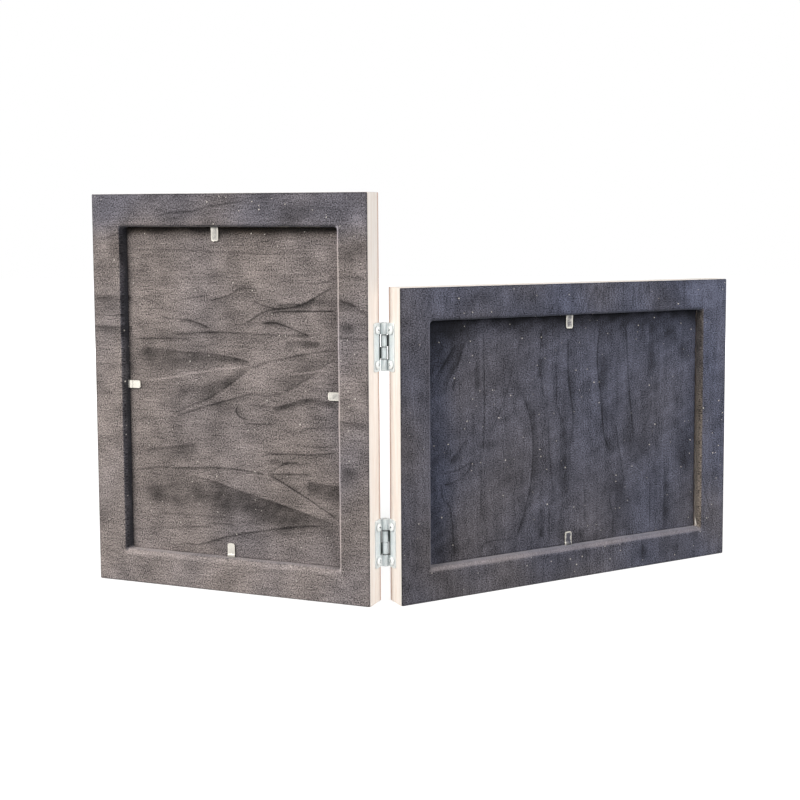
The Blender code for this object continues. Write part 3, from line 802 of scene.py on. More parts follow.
# %% Work out the nap
LINE_WIDTH = 0.42
LINE_GAIN = 1.3
STREAK_STEP = 1.2
END_SHARE = 0.10
SHADE_STARTS = (-0.4, 0.7)
SHADE_ENDS = (0.4, 1.3)
SEED = {PORTRAIT: 0, LANDSCAPE: 10}


def smooth_path(points, step):
    """A Catmull-Rom curve through the points, about one point a step. It passes through each."""
    points = np.array(points, dtype=float)
    ends = np.concatenate((2 * points[:1] - points[1:2], points, 2 * points[-1:] - points[-2:-1]))
    pieces = []
    for index in range(len(points) - 1):
        before, start, end, after = ends[index : index + 4]
        count = max(2, int(np.linalg.norm(end - start) / step))
        t = (np.arange(count) / count)[:, None]
        bend = (2 * before - 5 * start + 4 * end - after) * t**2
        twist = (3 * start - before - 3 * end + after) * t**3
        pieces.append(0.5 * (2 * start + (end - before) * t + bend + twist))
    return np.concatenate((*pieces, points[-1:]))


def along_path(x, z, path):
    """For each point: its signed distance from the path, left of its way above 0, and its share."""
    start, step = path[:-1], np.diff(path, axis=0)
    dx, dz = x[:, None] - start[:, 0], z[:, None] - start[:, 1]
    length = (step**2).sum(axis=1)
    share = np.clip((dx * step[:, 0] + dz * step[:, 1]) / length, 0, 1)
    gap = np.hypot(dx - share * step[:, 0], dz - share * step[:, 1])
    nearest = gap.argmin(axis=1)
    pick = (np.arange(len(x)), nearest)
    left = step[nearest, 0] * dz[pick] - step[nearest, 1] * dx[pick]
    return np.where(left > 0, gap[pick], -gap[pick]), (nearest + share[pick]) / len(step)


def spread_along(numbers, share):
    """One number, or a row of them spread evenly along a path, read at each share of its length."""
    numbers = np.atleast_1d(np.array(numbers, dtype=float))
    return np.interp(share, np.linspace(0, 1, len(numbers)), numbers)


def nap_of(x, z, streaks, patches, seed):
    """How the brushed pile lies at points given in millimetres, with the tabs' painted shadows: below 0 dark,
    above 0 light.
    """
    shape = x.shape
    x, z = x.ravel(), z.ravel()
    uneven = 0.95 + 0.14 * ripple(x, z, 9, seed + 4)
    nap = np.zeros(len(x))
    for dark, *side_shade, points in streaks:
        shade, reach = side_shade or (0, 1)
        path = smooth_path(points, STREAK_STEP)
        room = 3 + SHADE_ENDS[1] * np.abs(reach).max()
        low, high = path.min(axis=0) - room, path.max(axis=0) + room
        near = np.flatnonzero((x > low[0]) & (x < high[0]) & (z > low[1]) & (z < high[1]))
        if len(near) == 0:
            continue
        side, share = along_path(x[near], z[near], path)
        ends = smooth_step(0, END_SHARE, share) * smooth_step(0, END_SHARE, 1 - share)
        thin = np.exp(-((side / LINE_WIDTH) ** 2)) * dark * LINE_GAIN
        far = spread_along(reach, share)
        away = side * np.sign(far)
        far = np.abs(far)
        fades = 1 - smooth_step(SHADE_ENDS[0] * far, SHADE_ENDS[1] * far, away)
        soft = smooth_step(*SHADE_STARTS, away) * fades
        nap[near] -= ends * (thin + soft * spread_along(shade, share)) * uneven[near]
    for middle_x, middle_z, wide, high, dark in patches:
        away = ((x - middle_x) / wide) ** 2 + ((z - middle_z) / high) ** 2
        nap -= dark * np.exp(-(away**1.5)) * uneven
    nap += 0.10 * ripple(x, z, 46, seed) + 0.11 * ripple(x, z * 1.6, 15, seed + 1)
    return np.clip(nap, -1, 1).reshape(shape)


STREAKS = {PORTRAIT: PORTRAIT_STREAKS, LANDSCAPE: LANDSCAPE_STREAKS}
PATCHES = {PORTRAIT: PORTRAIT_PATCHES, LANDSCAPE: LANDSCAPE_PATCHES}


def cloth_numbers(made, across, up, seed):
    """The nap and the warmth of a frame's velvet at points in its own metres."""
    seed += SEED[made]
    x, z = from_left(made, across) * MM, up * MM
    nap = nap_of(x, z, STREAKS[made], PATCHES[made], seed)
    wide, high = made.width * MM, made.height * MM
    # Broad gradients: the upright cloth is darker and cooler towards its top, cooler towards its hinge side
    # and lighter by its outer side and bottom. The lying cloth is cooler towards its outer side and top, and
    # lighter by its outer side.
    if made is PORTRAIT:
        warmth = 0.6 - 0.9 * smooth_step(0.86, 0.96, z / high) - 0.25 * x / wide
        nap = nap - 0.16 * smooth_step(0.86, 0.96, z / high) + 0.08 * smooth_step(0.3, 0.0, x / wide)
        nap = nap + 0.12 * smooth_step(0.10, 0.06, z / high)
    else:
        warmth = 0.35 - 0.5 * x / wide - 0.3 * z / high - 0.25 * (x / wide) * (z / high)
        nap = nap + 0.18 * smooth_step(0.90, 0.94, x / wide)
    return {"nap": nap, "warmth": warmth + 0.25 * ripple(x, z, 60, seed + 2)}


def cloth_uv(made, across, up):
    """The cloth's own coordinates: its rib lies across the upright frame, and stands on the other."""
    return np.stack((across, up) if made is PORTRAIT else (up, across), axis=-1)


print("a streak is a curve of about", len(smooth_path(PORTRAIT_STREAKS[7][-1], STREAK_STEP)), "points")

# %% [markdown]
# ## Velvet
# The cloth is a dark grey upholstery velvet on a fine rib, stuck on with its rib lying across the
# upright frame and standing on the lying one. Its colour follows the nap, with the rib, a fine
# grain and specks of lint on top. Sheen is the shader's own fuzz: it lights the threads that
# stand against the light, so it stays a plain number on the shader.

# %% The velvet's finish
LINT_COLOUR = colour(214, 208, 200)
LINT_SPREAD = {"Scale": 0.25, "Share": 0.09, "Radius": 0.078}
NAP_GAIN = 1.05


def velvet_material(name, cool, warm, tan_colour, rib_share, stroke_share):
    """Velvet from a cool to a warm to a tan colour, whose lightness follows the attribute for the pile and
    the painted light and shade.
    """
    material, tree, shader = new_material(name)
    cloth = in_mm(tree, "cloth")
    nap, warmth = attribute(tree, "nap"), attribute(tree, "warmth")
    base = mixed(tree, ramp(tree, warmth, -0.8, 0.8), cool, warm)
    base = mixed(tree, ramp(tree, warmth, 0.8, 1.8), base, tan_colour)
    rib = noise(tree, stretched(tree, cloth, (0.1, 1, 1)), 0.9, 2.0, 0.6)
    brushed = noise(tree, stretched(tree, cloth, (0.3, 1, 1)), 0.4, 2.0, 0.5)
    clouds = noise(tree, cloth, 0.07, 3.0, 0.6)
    strokes = noise(tree, stretched(tree, cloth, (0.02, 0.2, 1)), 1.0, 3.0, 0.6)
    pile = noise(tree, cloth, 1.4, 1.0, 0.5)
    shares = ((rib, rib_share), (brushed, 0.35), (clouds, 1.0), (strokes, stroke_share), (pile, 3.9))
    uneven = 1.0
    for grey, share in shares:
        uneven = sum_of(tree, "MULTIPLY_ADD", sum_of(tree, "SUBTRACT", grey, 0.5), share, uneven)
    # Where the attribute is high, as on the walls' painted light, the grain is calmer.
    calm = ramp(tree, nap, 0.25, 0.9, 1.0, 0.4)
    uneven = sum_of(tree, "MULTIPLY_ADD", sum_of(tree, "SUBTRACT", uneven, 1.0), calm, 1.0)
    level = sum_of(tree, "MAXIMUM", sum_of(tree, "MULTIPLY_ADD", nap, NAP_GAIN, 1.0), 0.15)
    level = times(tree, level, sum_of(tree, "MAXIMUM", uneven, 0.2))
    shade = add(tree, "ShaderNodeVectorMath", {0: base, "Scale": level}, operation="SCALE").outputs[0]
    specks = use(tree, LINT, {"Vector": cloth} | LINT_SPREAD)["Specks"]
    height = sum_of(tree, "ADD", pile, times(tree, rib, 0.5))
    inputs = {
        "Base Color": mixed(tree, specks, shade, LINT_COLOUR),
        "Roughness": ramp(tree, pile, 0.3, 0.7, 0.8, 0.95),
        "Normal": bumped(tree, height, 0.5, 0.00012),
        "Specular IOR Level": 0.12,
        "Sheen Weight": 0.22,
        "Sheen Roughness": 0.45,
        "Sheen Tint": (0.80, 0.86, 1.0, 1),
    }
    fill(tree, shader, inputs)
    return material


# The lying frame's velvet is a darker, bluer copy of the same cloth: painted shade, as that frame turns away
# from the key lamp.
UPRIGHT_COLOURS = (colour(102, 100, 108), colour(121, 113, 110), colour(110, 97, 84))
LYING_SHADED_COLOURS = (colour(72, 75, 90), colour(84, 80, 82), colour(101, 93, 86))
VELVET = {
    PORTRAIT: velvet_material("upright velvet", *UPRIGHT_COLOURS, 1.0, 0.3),
    LANDSCAPE: velvet_material("lying velvet", *LYING_SHADED_COLOURS, 0.8, 1.0),
}
print("made", *(material.name for material in VELVET.values()))

# %% [markdown]
# ## The velvet round each back
# One piece of cloth covers the four rails like a mount: it is cut flush with the outer sides, lies
# over the backs, folds softly into the opening and goes down its walls, where it is slit at the
# corners. It could be four strips, but the weave would break at each mitre, so it is one ring:
# an outline of the cloth's thickness carried round a rectangle whose corners are slightly round.

# %% The ring of cloth
FOLD = 0.0024
CLOTH_EDGE = 0.0003
CLOTH_INSET = 0.0001
TUCK = 0.0080
RING_STEP = 0.00085
CORNER_STEPS = 8
OUTER_CORNER = 0.0006
INNER_CORNER = 0.0019
BARE_WALL = 0.0058
SLIT_LENGTH = 0.0065
SLIT_DEPTH = 0.0026
BACK_SLACK = 0.00012
FOLD_LEAN = 0.00010
# Painted light and shade where the cloth turns down each wall, lighter above 0 and darker below,
# and how many folds' widths that takes.
WALL_LIGHT_AND_SHADE = {
    PORTRAIT: {
        "bottom": (0.42, 1.5),
        "top": (-0.3, 0.5),
        "hinge_side": (2.4, 0.8),
        "outer_side": (-0.72, 0.6),
    },
    LANDSCAPE: {
        "bottom": (1.25, 1.2),
        "top": (-0.3, 0.5),
        "hinge_side": (0.8, 0.8),
        "outer_side": (0.1, 0.6),
    },
}


def rounded_rectangle(half_width, half_height, radius, steps):
    """A rectangle with round corners, anticlockwise from its lower left, as whole arrays.

    half_width, half_height and radius are arrays, one value for each ring. Each side has the same
    number of points on every ring, so points with the same number make a line across the cloth.
    """
    corners = ((-1, -1, 180), (1, -1, 270), (1, 1, 0), (-1, 1, 90))
    x_parts, z_parts = [], []
    for index, (i, j, start) in enumerate(corners):
        angle = np.radians(start + 90 * np.arange(CORNER_STEPS + 1) / CORNER_STEPS)[None]
        x = i * (half_width - radius) + radius * np.cos(angle)
        z = j * (half_height - radius) + radius * np.sin(angle)
        next_i, next_j, next_start = corners[(index + 1) % 4]
        next_angle = math.radians(next_start)
        end_x = next_i * (half_width - radius) + radius * math.cos(next_angle)
        end_z = next_j * (half_height - radius) + radius * math.sin(next_angle)
        share = (np.arange(1, steps[index]) / steps[index])[None]
        x_parts += [x, x[:, -1:] * (1 - share) + end_x * share]
        z_parts += [z, z[:, -1:] * (1 - share) + end_z * share]
    return np.concatenate(x_parts, axis=1), np.concatenate(z_parts, axis=1)


def border_section():
    """The cloth's outline, in order round it: (inset, depth, share of the wall that it goes down)."""
    back, under = FRAME_THICKNESS, FRAME_THICKNESS - VELVET_THICKNESS
    thin = FOLD - VELVET_THICKNESS
    wall = BORDER - VELVET_THICKNESS
    top = [
        line((CLOTH_INSET, under), (CLOTH_INSET, back - CLOTH_EDGE), 2),
        arc((CLOTH_INSET + CLOTH_EDGE, back - CLOTH_EDGE), CLOTH_EDGE, 180, 90, 4),
        line((CLOTH_INSET + CLOTH_EDGE, back), (BORDER - FOLD, back), 24)[1:],
        arc((BORDER - FOLD, back - FOLD), FOLD, 90, 0, 12),
    ]
    inner = [
        arc((wall - thin, under - thin), thin, 0, 90, 5),
        line((wall - thin, under), (CLOTH_INSET, under), 6)[1:],
    ]
    down = np.linspace(0, 1, 12)[1:]
    top, inner = np.concatenate(top), np.concatenate(inner)
    outside = np.stack((np.full(len(down), BORDER), np.full(len(down), back - FOLD)), axis=-1)
    inside = np.stack((np.full(len(down), wall), np.full(len(down), under - thin)), axis=-1)
    outline = np.concatenate((top, outside, inside, inner))
    goes_down = np.concatenate((np.zeros(len(top)), down, down[::-1], np.zeros(len(inner))))
    return outline[:, 0], outline[:, 1], goes_down


def tuck_depth(made, across, up):
    """How far below the back the cloth ends.

    On the lying frame's outer wall it stops just short of the board, and at that wall's two ends
    the slit pulls it back from the corner.
    """
    tuck = np.full(across.shape, TUCK)
    if made is LANDSCAPE:
        from_wall = made.width - BORDER - across
        on_wall = 1 - smooth_step(0.0004, 0.0012, from_wall)
        bottom = np.clip(1 - (up - BORDER) / SLIT_LENGTH, 0, 1)
        top = np.clip(1 - (made.height - BORDER - up) / (SLIT_LENGTH * 0.6), 0, 1)
        low = smooth_step(0.6, 0.15, up / made.height)
        short = BARE_WALL - 0.0005 * low - SLIT_DEPTH * bottom - 0.4 * SLIT_DEPTH * top
        tuck = tuck * (1 - on_wall) + short * on_wall
    return tuck


def make_border(made):
    """The ring of cloth: across and up follow the rounded rectangles, depth follows the section."""
    inset, depth, down = (each[:, None] for each in border_section())
    steps = [round(side / RING_STEP) for side in (made.width, made.height) * 2]
    radius = OUTER_CORNER + (INNER_CORNER - OUTER_CORNER) * inset / BORDER
    x, z = rounded_rectangle(made.width / 2 - inset, made.height / 2 - inset, radius, steps)
    across, up = x + made.width / 2, z + made.height / 2
    tuck = tuck_depth(made, across, up)
    depth = depth - down * (tuck - (FRAME_THICKNESS - depth))
    on_back = smooth_step(0.0, 0.004, inset) * smooth_step(0.0, 0.003, BORDER - inset)
    wave = ripple(across * MM, up * MM, 34, 21 + SEED[made])
    depth = depth + BACK_SLACK * on_back * (wave - 1.0)
    lean = FOLD_LEAN * ripple(across * MM, up * MM, 22, 41 + SEED[made])
    soft = smooth_step(0.012, BORDER, inset)
    across = across + lean * soft
    up = up + lean * soft
    spread = down * (tuck - FOLD)
    inward_x = -np.sign(x) * np.clip((np.abs(x) - made.width / 2 + inset) / radius + 1, 0, 1)
    inward_z = -np.sign(z) * np.clip((np.abs(z) - made.height / 2 + inset) / radius + 1, 0, 1)
    flat_across, flat_up = across + inward_x * spread, up + inward_z * spread
    numbers = cloth_numbers(made, flat_across, flat_up, 3)
    facing = {"bottom": inward_z, "top": -inward_z, "hinge_side": inward_x, "outer_side": -inward_x}
    turned = {}
    # Painted light on the hinge-side folds, the bottom walls and the lying frame's outer wall, and painted
    # shade on the top walls and the upright frame's outer wall, growing down each wall.
    for side, (lift, folds) in WALL_LIGHT_AND_SHADE[made].items():
        over = smooth_step(BORDER - FOLD * folds, BORDER - FOLD * folds * 0.4, inset)
        turned[side] = np.maximum(facing[side], 0) ** 2 * over
        numbers["nap"] = numbers["nap"] + lift * turned[side] * (1 + 0.6 * down)
    # On the lying frame's outer wall the cloth turns tan and darker towards the top, and its bottom wall
    # turns warmer. On the upright frame's outer wall it turns cooler.
    outer_wall = turned["outer_side"]
    if made is LANDSCAPE:
        numbers["nap"] = numbers["nap"] - 0.65 * outer_wall * smooth_step(0, 1, up / made.height)
        numbers["warmth"] = numbers["warmth"] + 0.45 * turned["bottom"]
    numbers["warmth"] = numbers["warmth"] + outer_wall * (-1 if made is PORTRAIT else 2)
    numbers["nap"] = numbers["nap"] - 0.35 * smooth_step(0.0007, 0.0003, inset)
    piece = new_piece(
        f"{made.name}_border_cloth",
        place(made, across, depth, up),
        grid_faces(*across.shape, round_rows=True, round_columns=True),
        VELVET[made],
        uv=cloth_uv(made, flat_across, flat_up),
        attributes=numbers,
        sharp=60,
    )
    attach(piece, BODY[made])
    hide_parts(f"{made.name}_border_velvet")


for made in FRAMES:
    make_border(made)

# %% [markdown]
# ## The velvet on each back board
# The board that closes the rebate has the same velvet glued on. It lies flat, with its edges
# turned down. A fine grid carries the nap, the rim goes down by the cloth's thickness, and one
# point in the middle of the hidden side closes the shape.

# %% The boards' cloth
PANEL_STEP = 0.00056
PANEL_SLACK = 0.00015
PANEL_EDGE = 0.0004
PANEL_WAVE = 0.00005
CLOTH_ON_BOARD = 0.0005
PANEL_CLOTH_FROM = (0.4, 0.0)


def painted_wall_shade(made, across, up):
    """Painted shade on the board by its top and outer walls, and painted light by its bottom wall."""
    far = (made.height - BORDER - up, made.width - BORDER - across, up - BORDER)
    reach = (0.0049 if made is PORTRAIT else 0.0095, 0.0033, 0.004)
    top, outer, bottom = (np.exp(-((np.maximum(d, 0) / r) ** 2)) for d, r in zip(far, reach, strict=True))
    if made is PORTRAIT:
        # The upright board also turns warmer under its top wall. The lying board gets painted shade, cooler,
        # along its hinge side as well.
        return 0.1 * bottom - 0.85 * top - 0.45 * outer, 1.5 * top
    near = smooth_step(0.040, 0.022, across)
    return 0.05 * bottom - 0.72 * top - 0.3 * outer - 0.26 * near, -0.6 * near


def make_panel(made):
    """A grid over the board, closed below: depth drops by a quarter circle at the rim."""
    room = 2 * (BORDER + PANEL_SLACK)
    wide, high = made.width - room, made.height - room
    columns, rows = (round(side / PANEL_STEP) for side in (wide, high))
    x = np.linspace(-wide / 2, wide / 2, columns)
    z = np.linspace(-high / 2, high / 2, rows)
    z, x = np.meshgrid(z, x, indexing="ij")
    to_rim = np.minimum(wide / 2 - np.abs(x), high / 2 - np.abs(z))
    drop = np.clip(1 - to_rim / PANEL_EDGE, 0, 1)
    sunk = PANEL_EDGE * (1 - np.sqrt(1 - drop**2)) * 0.8
    across, up = x + made.width / 2, z + made.height / 2
    depth = PANEL_BACK - sunk - PANEL_WAVE * (1 + ripple(across * MM, up * MM, 30, 61))
    front = place(made, across, depth, up)
    numbers = np.arange(rows * columns).reshape(rows, columns)
    rim = np.concatenate((numbers[0, :-1], numbers[:-1, -1], numbers[-1, :0:-1], numbers[:0:-1, 0]))
    floor_depth = PANEL_BACK - CLOTH_ON_BOARD
    flat = place(made, across.ravel()[rim], floor_depth, up.ravel()[rim])
    middle = place(made, made.width / 2, floor_depth, made.height / 2)
    count, low = len(rim), rows * columns
    ring, following = np.arange(count), (np.arange(count) + 1) % count
    sides = np.stack((rim[ring], rim[following], low + following, low + ring), axis=-1)
    centre = np.full(count, low + count)
    fan = np.stack((low + ring, low + following, centre), axis=-1)
    points = np.concatenate((front.reshape(-1, 3), flat, middle.reshape(-1, 3)))
    faces = np.concatenate((grid_faces(rows, columns), sides))
    all_across = np.concatenate((across.ravel(), across.ravel()[rim], (made.width / 2,)))
    all_up = np.concatenate((up.ravel(), up.ravel()[rim], (made.height / 2,)))
    numbers = cloth_numbers(made, all_across, all_up, 5)
    # Painted shade by the walls, with painted light by the bottom wall.
    wall_shade, warmer = painted_wall_shade(made, all_across, all_up)
    numbers["nap"] = numbers["nap"] + wall_shade
    numbers["warmth"] = numbers["warmth"] + warmer
    piece = new_piece(
        f"{made.name}_board_cloth",
        points,
        faces,
        VELVET[made],
        uv=cloth_uv(made, all_across, all_up) + PANEL_CLOTH_FROM,
        attributes=numbers,
        caps=fan.tolist(),
        sharp=60,
    )
    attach(piece, BODY[made])
    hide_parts(f"{made.name}_board_velvet")
    print(piece.name, rows, "x", columns, "points")


for made in FRAMES:
    make_panel(made)

# %% [markdown]
# ## Zinc and steel
# The hinges are stamped from zinc-plated sheet: pale, slightly blue, softly polished. The tabs are
# cut from bright thin steel, with a painted highlight along their edges and darker in the middle.
# An attribute holds painted shade in the creases and gaps of a hinge, in its screws' recesses and
# at the tabs' roots, and both metals darken with it.

# %% The metals' finishes


def metal_material(name, bright, dull, roughness, dull_share, metallic):
    """A plated metal: cloudy colour and roughness, and painted shade where its attribute says."""
    material, tree, shader = new_material(name)
    clouds = use(tree, SMUDGE, {"Vector": in_piece(tree), "Size": 260.0})["Clouds"]
    grime = attribute(tree, "grime")
    fade = times(tree, ramp(tree, clouds, 0.35, 0.65, 0.4, 1.0), dull_share)
    base = mixed(tree, times(tree, fade, attribute(tree, "dull"), clamp=True), bright, dull)
    # Painted shade: a dark colour, less metal and rougher where the attribute says.
    base = mixed(tree, times(tree, grime, 0.95, clamp=True), base, colour(38, 44, 44))
    clean = sum_of(tree, "SUBTRACT", 1.0, grime, clamp=True)
    rough = ramp(tree, clouds, 0.3, 0.7, roughness * 0.75, roughness * 1.35)
    inputs = {
        "Base Color": base,
        "Metallic": times(tree, clean, metallic),
        "Roughness": sum_of(tree, "MULTIPLY_ADD", grime, 0.4, rough),
        "Normal": bumped(tree, clouds, 0.2, 0.00004),
    }
    fill(tree, shader, inputs)
    return material


ZINC = metal_material("zinc plate", colour(244, 248, 248), colour(206, 218, 222), 0.42, 0.7, 0.2)
TAB_STEEL = metal_material("bright tab steel", colour(228, 224, 214), colour(74, 74, 82), 0.28, 1.0, 0.85)
NAIL_STEEL = metal_material("plain nail steel", colour(168, 168, 170), colour(120, 118, 116), 0.4, 0.8, 1.0)
EASED_SHEET = 0.00012


def stamp(piece, thickness):
    """Gives a piece that is one surface the thickness of its sheet, and eases the edges."""
    sheet = piece.modifiers.new("sheet", "SOLIDIFY")
    sheet.thickness = thickness
    sheet.offset = 0
    sheet.use_even_offset = True
    eased = piece.modifiers.new("eased", "BEVEL")
    eased.width = EASED_SHEET
    eased.segments = 2


print("made", ZINC.name, TAB_STEEL.name, NAIL_STEEL.name)

# %% [markdown]
# ## Hinge leaves
# A butt hinge leaf is a strip of sheet with one edge rolled round the pin and cut into knuckles,
# so that the two leaves' knuckles alternate. The middle of the sheet is a path: straight along the
# plate, then three quarters of a circle and more. A grid of that path and the leaf's height, with
# the quads left out where the other leaf's knuckles turn, gets its thickness from Solidify and
# its eased edges from Bevel.

# %% Hinge leaves
HINGE_HEIGHT = 0.026
HINGES = {"lower": 0.032, "upper": 0.138}
LEAF_REACH = 0.0084
LEAF_SHEET = 0.0007
LEAF_CORNER = 0.0012
ROLL_MIDDLE = 0.00150
PLATE_MIDDLE = 0.00195
ROLL_TURN = 306
KNUCKLES = 4
KNUCKLE_GAP = 0.0003
NOTCH = 0.0013


def leaf_path():
    """The middle of the sheet as (beside, behind) the hinge axis, and where its roll begins."""
    plate = line((PLATE_MIDDLE, LEAF_REACH), (PLATE_MIDDLE, NOTCH), 12)
    bend = line((PLATE_MIDDLE, NOTCH), (ROLL_MIDDLE, 0), 6)
    bend[:, 0] = ROLL_MIDDLE + (PLATE_MIDDLE - ROLL_MIDDLE) * smooth_step(0, NOTCH, bend[:, 1])
    roll = arc((0, 0), ROLL_MIDDLE, 0, -ROLL_TURN, 34)
    return np.concatenate((plate, bend, roll)), len(plate)


def leaf_heights():
    """Heights of the grid's lines: the ends, the borders of the knuckles and some between."""
    half, pitch = HINGE_HEIGHT / 2, HINGE_HEIGHT / KNUCKLES
    borders = [border * pitch + way * KNUCKLE_GAP / 2 for border in (-1, 0, 1) for way in (-1, 1)]
    near_ends = [half - LEAF_CORNER * (1 - math.cos(math.radians(a))) for a in range(0, 91, 15)]
    between = [half - pitch / 2, pitch / 2, 0.00045, pitch - 0.00045, pitch + 0.00045]
    both_ways = [way * height for height in (*near_ends, *between) for way in (-1, 1)]
    return np.array(sorted({*borders, *both_ways}))


def shade_on_leaf(hinge, beside, behind, height):
    """Painted shade along both sides of the two middle knuckles, and round the gaps between knuckles."""
    middle_half = np.abs(height) < HINGE_HEIGHT / 4 + 0.0002
    crease = smooth_step(0.0034, 0.0026, behind) * smooth_step(0.0002, 0.0008, behind) * middle_half
    crease = crease * smooth_step(0.0006, 0.0010, beside)
    gaps = np.abs(np.abs(height) - HINGE_HEIGHT / 4)
    gaps = np.minimum(gaps, np.abs(height)) if hinge == "upper" else gaps
    return np.clip(crease + 1.1 * np.exp(-((gaps / 0.0003) ** 2)) * (behind < 0.0019), 0, 1)


def make_leaf(made, hinge, centre):
    """One leaf: path x height, its far corners rounded, cut where the other leaf's knuckles turn."""
    path, roll_start = leaf_path()
    heights = leaf_heights()
    beside, height = np.meshgrid(path[:, 0], heights, indexing="ij")
    behind = np.broadcast_to(path[:, 1:], beside.shape).copy()
    past = np.clip(np.abs(height) - (HINGE_HEIGHT / 2 - LEAF_CORNER), 0, LEAF_CORNER)
    cut_back = LEAF_CORNER - np.sqrt(LEAF_CORNER**2 - past**2)
    behind[0] = LEAF_REACH - cut_back[0]
    behind[1:roll_start] = np.minimum(behind[1:roll_start], behind[0] - 0.0001)
    rows, columns = beside.shape
    faces = grid_faces(rows, columns)
    middle = (heights[:-1] + heights[1:]) / 2
    from_top = (HINGE_HEIGHT / 2 - middle) / (HINGE_HEIGHT / KNUCKLES)
    own = (np.floor(from_top).astype(int) % 2 == 0) == (made.side > 0)
    in_gap = np.abs(from_top - np.round(from_top)) * HINGE_HEIGHT / KNUCKLES < KNUCKLE_GAP / 2 - 1e-6
    in_gap &= (np.round(from_top) > 0) & (np.round(from_top) < KNUCKLES)
    keep = (np.arange(rows - 1) < roll_start)[:, None] | (own & ~in_gap)[None]
    faces = faces[keep.ravel()]
    used, faces = np.unique(faces, return_inverse=True)
    faces = faces.reshape(-1, 4)
    grime = shade_on_leaf(hinge, beside, behind, height)
    name = f"{hinge}_hinge_{made.name}_leaf"
    points = from_axis(made, beside, behind, height + centre).reshape(-1, 3)[used]
    attributes = {"grime": grime.ravel()[used], "dull": np.full(len(used), 0.8)}
    piece = new_piece(name, points, faces, ZINC, attributes=attributes)
    stamp(piece, LEAF_SHEET)
    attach(piece, BODY[made])
    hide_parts(f"hinge_{hinge}_leaf_{made.name}")


for hinge, centre in HINGES.items():
    for made in FRAMES:
        make_leaf(made, hinge, centre)
print("four leaves of", LEAF_SHEET * MM, "mm sheet")

# %% [markdown]
# ## Pins and screws
# Both are turned pieces: a profile of radius and length, spun round an axis. A pan-head screw also
# has a cross recess, which is a dip in the head: the profile's height less a cross-shaped dent.

# %% Pins and screws
SPIN = 48
PIN_RADIUS = 0.0010
PIN_LENGTH = HINGE_HEIGHT + 0.0008
PIN_DOME = 0.0005
SCREW_FROM_AXIS = 0.006
SCREW_SPACING = 0.0184
SCREW_LENGTH = 0.0125
SHANK = 0.0012
THREAD_DEPTH = 0.00018
THREAD_TURNS = 10
POINT_LENGTH = 0.003
HEAD_RADIUS = 0.0023
HEAD_EDGE = 0.0006
HEAD_DOME = 0.0010
RECESS_DEPTH = 0.0008
SCREW_SEAT = 0.0015
SCREW_TILT = {"top": 0.35, "bottom": 1.1}


def spun(radius, height, turns=SPIN):
    """A profile spun about an axis: (away on one side, away on the other, height along it)."""
    angle = np.linspace(0, 2 * math.pi, turns, endpoint=False)[None]
    radius = radius[:, None]
    height = np.broadcast_to(height[:, None], (len(height), turns))
    return radius * np.cos(angle), radius * np.sin(angle), height


def new_turned(name, points, attributes, sharp=40):
    """A zinc piece from a spun grid of points, closed at both ends."""
    faces = grid_faces(*points.shape[:2], round_columns=True)
    caps = end_caps(*points.shape[:2])
    return new_piece(name, points, faces, ZINC, attributes=attributes, caps=caps, sharp=sharp)


def make_pin(hinge, centre):
    """The pin, with its two ends domed over."""
    dome = np.radians(np.linspace(84, 0, 7))
    radius = np.concatenate((PIN_RADIUS * np.cos(dome), PIN_RADIUS * np.cos(dome[::-1])))
    rise = PIN_DOME * np.sin(dome)
    height = np.concatenate((PIN_LENGTH / 2 - PIN_DOME + rise, PIN_DOME - PIN_LENGTH / 2 - rise[::-1]))
    beside, behind, up = spun(radius, height)
    hidden = np.abs(up) < HINGE_HEIGHT / 2 - 0.0002
    # Painted shade on the pin where the knuckles hide it.
    attributes = {"grime": 0.8 * hidden, "dull": np.ones(up.size)}
    points = from_axis(PORTRAIT, beside, behind, up + centre)
    piece = new_turned(f"{hinge}_hinge_turned_pin", points, attributes)
    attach(piece, BODY[PORTRAIT])
    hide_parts(f"hinge_{hinge}_pin")


def screw_profile():
    """Radius and height of a screw from the middle of its head to its tip, seated at height 0."""
    dome = np.radians(np.linspace(88, 0, 22))
    thread = np.linspace(0, 1, 41)
    shank = SHANK - THREAD_DEPTH * (1 - np.cos(thread * 2 * math.pi * THREAD_TURNS)) / 2
    taper = np.minimum(1, (1 - thread) * SCREW_LENGTH / POINT_LENGTH + 0.08)
    under_head = (HEAD_RADIUS - 0.0001, HEAD_RADIUS - 0.0002)
    down = -0.0001 - thread * (SCREW_LENGTH - 0.0001)
    radius = np.concatenate((HEAD_RADIUS * np.cos(dome), under_head, shank * taper))
    return radius, np.concatenate((HEAD_EDGE + HEAD_DOME * np.sin(dome), (0.0001, 0.0), down))


